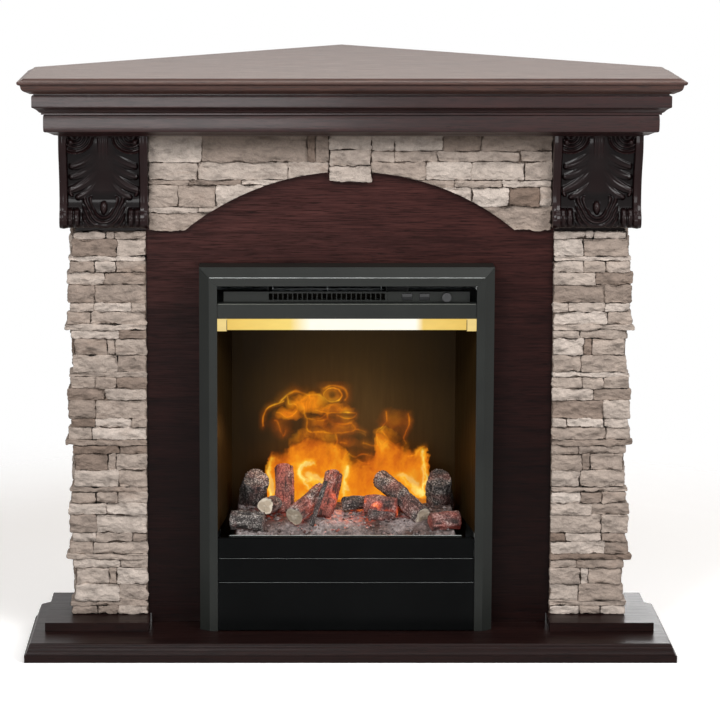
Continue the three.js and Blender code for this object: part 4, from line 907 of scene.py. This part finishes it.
FLAME_TOP = [  # top of the solid part of the flames, across and up in millimetres
    (-148, 262), (-143, 300), (-138, 311), (-125, 315), (-108, 314), (-99, 332), (-82, 341), (-57, 343), (-40, 341),
    (-23, 334), (-10, 318), (2, 302), (19, 298), (36, 305), (46, 312), (52, 346), (62, 350), (72, 345), (87, 331),
    (104, 321), (121, 318), (134, 322), (142, 322), (145, 300), (147, 262)]
PUFFS = [  # loose fire over it: centre, half-width, half-height, thickness and warmth
    (-106, 384, 21, 13, 0.95, 0.34), (-72, 402, 31, 15, 1.1, 0.46), (-28, 389, 37, 9, 0.85, 0.44),
    (-26, 360, 42, 15, 0.55, 0.36), (-60, 338, 38, 14, 0.8, 0.48), (85, 365, 26, 26, 0.26, 0.24),
    (70, 344, 20, 16, 0.8, 0.52), (-120, 356, 20, 17, 0.12, 0.15), (-6, 331, 22, 13, 0.3, 0.3),
    (-27, 416, 17, 15, 0.42, 0.42)]
BRIGHT = [  # yellow licks: half-width and the points they run through
    (4.5, [(-138, 238), (-141, 272), (-136, 306)]), (4, [(-64, 296), (-77, 297), (-86, 286), (-84, 268), (-70, 258)]),
    (5, [(-2, 238), (-5, 262), (2, 286)]), (3.5, [(136, 236), (139, 270), (137, 316)]),
    (7, [(96, 266), (118, 252), (137, 240)]), (6, [(-70, 270), (-60, 262), (-50, 256)])]
STRANDS = [  # filaments through these points
    [(-150, 358), (-149, 382), (-140, 395), (-125, 401), (-114, 405)], [(-121, 403), (-110, 414), (-95, 422),
    (-80, 419), (-70, 414), (-53, 415), (-42, 409)], [(-108, 414), (-104, 401), (-93, 399), (-90, 388), (-99, 378),
    (-110, 375), (-119, 382), (-127, 384)], [(-16, 426), (-10, 416), (-16, 406), (-27, 403), (-38, 407), (-42, 416),
    (-37, 425), (-27, 429), (-16, 426)], [(-42, 426), (-29, 433), (-14, 430), (-4, 424), (-1, 412), (-4, 405)],
    [(-78, 395), (-77, 382), (-73, 372), (-57, 370), (-44, 375), (-36, 382)], [(-57, 388), (-36, 382), (-14, 382),
    (2, 383), (16, 381), (12, 375), (-2, 373), (-19, 378)], [(-35, 382), (-35, 373), (-25, 365), (-6, 363), (7, 365)],
    [(-73, 372), (-73, 354), (-65, 347), (-44, 347), (-14, 346), (5, 349), (14, 354), (9, 363)], [(15, 353), (28, 350),
    (32, 347)], [(-57, 367), (-44, 369), (-35, 372)], [(-129, 369), (-125, 367), (-121, 354), (-116, 341),
    (-111, 350)], [(70, 386), (71, 369), (62, 358), (54, 350), (53, 335), (60, 322), (59, 314)], [(60, 350), (66, 344),
    (73, 335), (66, 327), (62, 318)], [(73, 335), (83, 327), (92, 316)], [(109, 382), (109, 361), (100, 339),
    (104, 327)], [(-21, 344), (-18, 331), (-24, 318)], [(2, 307), (15, 301), (19, 303), (28, 306), (47, 303)],
    [(17, 297), (24, 292), (41, 290)], [(-12, 329), (-2, 327)], [(28, 327), (45, 320), (53, 322)], [(109, 305),
    (121, 307), (132, 318), (138, 322)]]


def through(points, steps=7):
    """A smooth curve through a few points."""
    given = np.array(points, dtype=float)
    given = np.concatenate([[2 * given[0] - given[1]], given, [2 * given[-1] - given[-2]]])
    t = np.linspace(0, 1, steps, endpoint=False)[:, None]
    spans = [0.5 * (2 * b + (c - a) * t + (2 * a - 5 * b + 4 * c - d) * t ** 2 + (3 * b - a - 3 * c + d) * t ** 3)
             for a, b, c, d in zip(given, given[1:], given[2:], given[3:])]
    return np.concatenate(spans + [given[-2:-1]]) / 1000


def nearest(x, z, points):
    best = np.full(x.shape, 1.0)
    for (ax, az), (bx, bz) in zip(points, points[1:]):
        dx, dz = bx - ax, bz - az
        t = unit(((x - ax) * dx + (z - az) * dz) / (dx * dx + dz * dz + 1e-12))
        best = np.minimum(best, np.hypot(x - ax - t * dx, z - az - t * dz))
    return best


def flame_sheet(name, y, seed, share, bow, loose):
    """A thin sheet of lit mist; how thick and how warm it is varies over it."""
    columns, rows = 360, 250
    x, z = np.meshgrid(np.linspace(-0.160, 0.158, columns), np.linspace(0.222, 0.440, rows))
    flat = np.stack([x, np.full_like(x, seed * 0.1), z], -1)
    wx = x + 0.0045 * fractal(flat, 0.026, 4, seed, 0.6)
    wz = z + 0.0065 * fractal(flat, 0.026, 4, seed + 7, 0.6)
    licks = 0.5 + 0.5 * fractal(np.stack([wx, flat[..., 1], wz * 0.45], -1), 0.019, 4, seed + 31)
    top_x, top_z = np.array(FLAME_TOP).T / 1000
    over = np.interp(wx, top_x, top_z, left=0.2, right=0.2) - wz
    mottle = 0.5 + 0.5 * fractal(np.stack([wx, np.full_like(x, 0.3), wz * 0.8], -1), 0.03, 5, seed + 11, 0.62)
    solid = unit((over + 0.010 * (licks - 0.3)) / 0.016)
    solid = solid * solid * (3 - 2 * solid) * unit(0.42 + 0.42 * mottle + 0.2 * licks + over / 0.12)
    warm = 0.40 + 0.36 * (mottle - 0.45) + 0.22 * (licks - 0.5) + 0.16 * unit(over / 0.08)
    puffs, tint = np.zeros_like(x), np.zeros_like(x)
    for cx, cz, rx, rz, strength, warmth in PUFFS:
        r = np.hypot((wx - cx / 1000) * 1000 / rx, (wz - cz / 1000) * 1000 / rz)
        one = strength * unit(1.25 - r) ** 0.8 * unit(0.25 + 1.15 * mottle)
        tint = np.where(one > puffs, warmth + 0.35 * (mottle - 0.45), tint)
        puffs = np.maximum(puffs, one)
    hole = np.exp(-(np.hypot(x + 0.0275, z - 0.4155) / 0.0068) ** 4)
    puffs = puffs * (1 - 0.85 * hole)
    hot = np.zeros_like(x)
    for width, points in BRIGHT:
        hot = np.maximum(hot, bell(nearest(wx, wz, through(points)) * 1000, width))
    strands = np.zeros_like(x)
    broken = np.clip(0.65 + 0.5 * fractal(flat, 0.014, 3, seed + 21), 0.25, 1.15)
    for n, points in enumerate(STRANDS):
        far = nearest(x + 0.3 * (wx - x), z + 0.3 * (wz - z), through(points))
        width = (0.0011, 0.0017, 0.0013)[n % 3] * (0.7 + 0.5 * broken)
        strands = np.maximum(strands, (0.62, 0.5, 0.42)[n % 3] * broken * bell(far, width)
                             + 0.13 * bell(far, 5 * width))
    body = np.maximum(solid, loose * puffs)
    veil = np.clip((body + loose * strands * (1 - 0.45 * body)) * share, 0, 0.98)
    warmth = np.where(solid >= loose * puffs, warm, tint) + 0.5 * hot * solid + 0.22 * strands
    points = np.stack([x, y + bow * np.cos(x * 9), z], -1).reshape(-1, 3)
    keep = veil.ravel() > 0.004
    faces = quads(rows, columns)
    faces = faces[keep[faces].any(axis=1)]
    used = np.unique(faces)
    index = np.zeros(rows * columns, dtype=int)
    index[used] = np.arange(len(used))
    piece(name, points[used], index[faces], flame, "ember_bed", "light_diffuser", veil=veil.ravel()[used],
          warmth=unit(warmth).ravel()[used])


flame_sheet("flame_rear", -0.150, 5, 0.9, 0.003, 1.0)
flame_sheet("flame_front", -0.172, 6, 0.55, -0.004, 0.25)

# -------------------- the frame's own shapes
FINISHES = (
    (hearth_wood, "wood_veneer", "hearth_slab plinth_left plinth_right pillar_case_left pillar_case_right"),
    (panel_wood, "wood_veneer", "infill_panel"),
    (board, "raw_board", "soffit_board rear_post"),
    (steel, "black_steel", "trim_left trim_right trim_top hood_bar heater_grille control_plate"),
    (drawer_steel, "black_steel", "drawer_front"),
    (chamber, "black_steel", "liner_left liner_right rear_screen chamber_ceiling"),
    (zinc, "zinc_sheet", "fire_case case_base case_back drawer_tray runner_left runner_right fan_rotor"),
    (dull_zinc, "zinc_sheet", "heater_housing"),
    (plastic, "dark_plastic", "cable_gland fan_motor flame_switch heat_switch flame_knob mist_sump"),
    (tank, "tank_plastic", "water_tank"),
    (element, "element", "heating_element"),
    (lamp_glass, "lamp_glass", "lamp_left lamp_right"),
    (light, "light_diffuser", "light_strip"),
    (cap_glow, "light_diffuser", "light_cap_left light_cap_right"),
)
for finish, slot, names in FINISHES:
    for name in names.split():
        node = nodes[name]
        node.data.materials.clear()
        node.data.materials.append(finish.material)
        edge = node.modifiers.new("edges", "BEVEL")
        edge.width = 0.0009 if slot in ("wood_veneer", "black_steel") else 0.0004
        edge.segments = 2
        edge.limit_method, edge.angle_limit = "ANGLE", math.radians(32)
        edge.harden_normals = False

# -------------------- room light
paper = Finish("floor", Roughness=1.0, Specular_IOR_Level=0.0, Emission_Color=(1.0, 1.0, 1.0))
seen = paper.backdrop_rays()
paper.set("Base_Color", paper.mix(seen, (0.10, 0.10, 0.10), (0.94, 0.94, 0.94)))
paper.set("Emission_Strength", paper.times(seen, 0.25))
FADE_START, FADE_END = 0.8, 1.7  # metres from the middle over which the floor turns clear
near = paper.ranged(paper.distance((0, 0, 0)), FADE_END, FADE_START, interpolation_type="SMOOTHSTEP")
paper.set("Alpha", near)
floor = bpy.data.meshes.new("floor")
floor.from_pydata([(-2, -2, 0), (2, -2, 0), (2, 2, 0), (-2, 2, 0)], [], [(0, 1, 2, 3)])
floor.materials.append(paper.material)
ground = bpy.data.objects.new("floor", floor)
ground.location.z = -0.0006
scene.collection.objects.link(ground)

world = bpy.data.worlds.new("studio")
scene.world = world
world.use_nodes = True
sky = Graph(world.node_tree)
sky.tree.nodes.clear()
white = sky.add("Background", {"Color": (1, 1, 1), "Strength": 1.0}).outputs["Background"]
dim = sky.add("Background", {"Color": (1.0, 0.93, 0.88), "Strength": 0.08}).outputs["Background"]
room = sky.add("MixShader", {0: sky.backdrop_rays(), 1: dim, 2: white}).outputs["Shader"]
sky.add("OutputWorld", {"Surface": room})


def lamp(name, location, target, size, power, colour=(1, 1, 1)):
    data = bpy.data.lights.new(name, "AREA")
    data.shape, (data.size, data.size_y) = "RECTANGLE", size
    data.energy, data.color = power, colour
    made = bpy.data.objects.new(name, data)
    made.location = location
    made.rotation_euler = (Vector(target) - Vector(location)).to_track_quat("-Z", "Y").to_euler()
    scene.collection.objects.link(made)


lamp("key", (-1.6, -3.4, 3.0), (0, -0.2, 0.55), (1.4, 1.4), 112)
lamp("fill", (2.2, -3.0, 2.2), (0, -0.2, 0.5), (1.4, 1.4), 88)
lamp("low_window", (-0.95, -4.3, 0.54), (-0.3, -0.3, 0.7), (2.0, 0.66), 38)
lamp("overhead", (0.9, -1.5, 3.0), (0.1, -0.3, 0.6), (1.6, 0.9), 28)
lamp("side_right", (3.0, -0.9, 0.75), (0, -0.3, 0.5), (0.5, 1.2), 4)
lamp("top", (0.0, 1.6, 2.2), (0, 0.0, 0.95), (2.4, 1.2), 17, (1.0, 0.86, 0.74))
lamp("rear_fill", (0.6, 2.7, 0.5), (0, 0, 0.5), (1.8, 0.8), 30)
lamp("embers", (-0.02, -0.16, 0.36), (-0.02, -0.26, 0.2), (0.26, 0.10), 0.3, (1.0, 0.45, 0.12))

scene.view_settings.view_transform = "Standard"
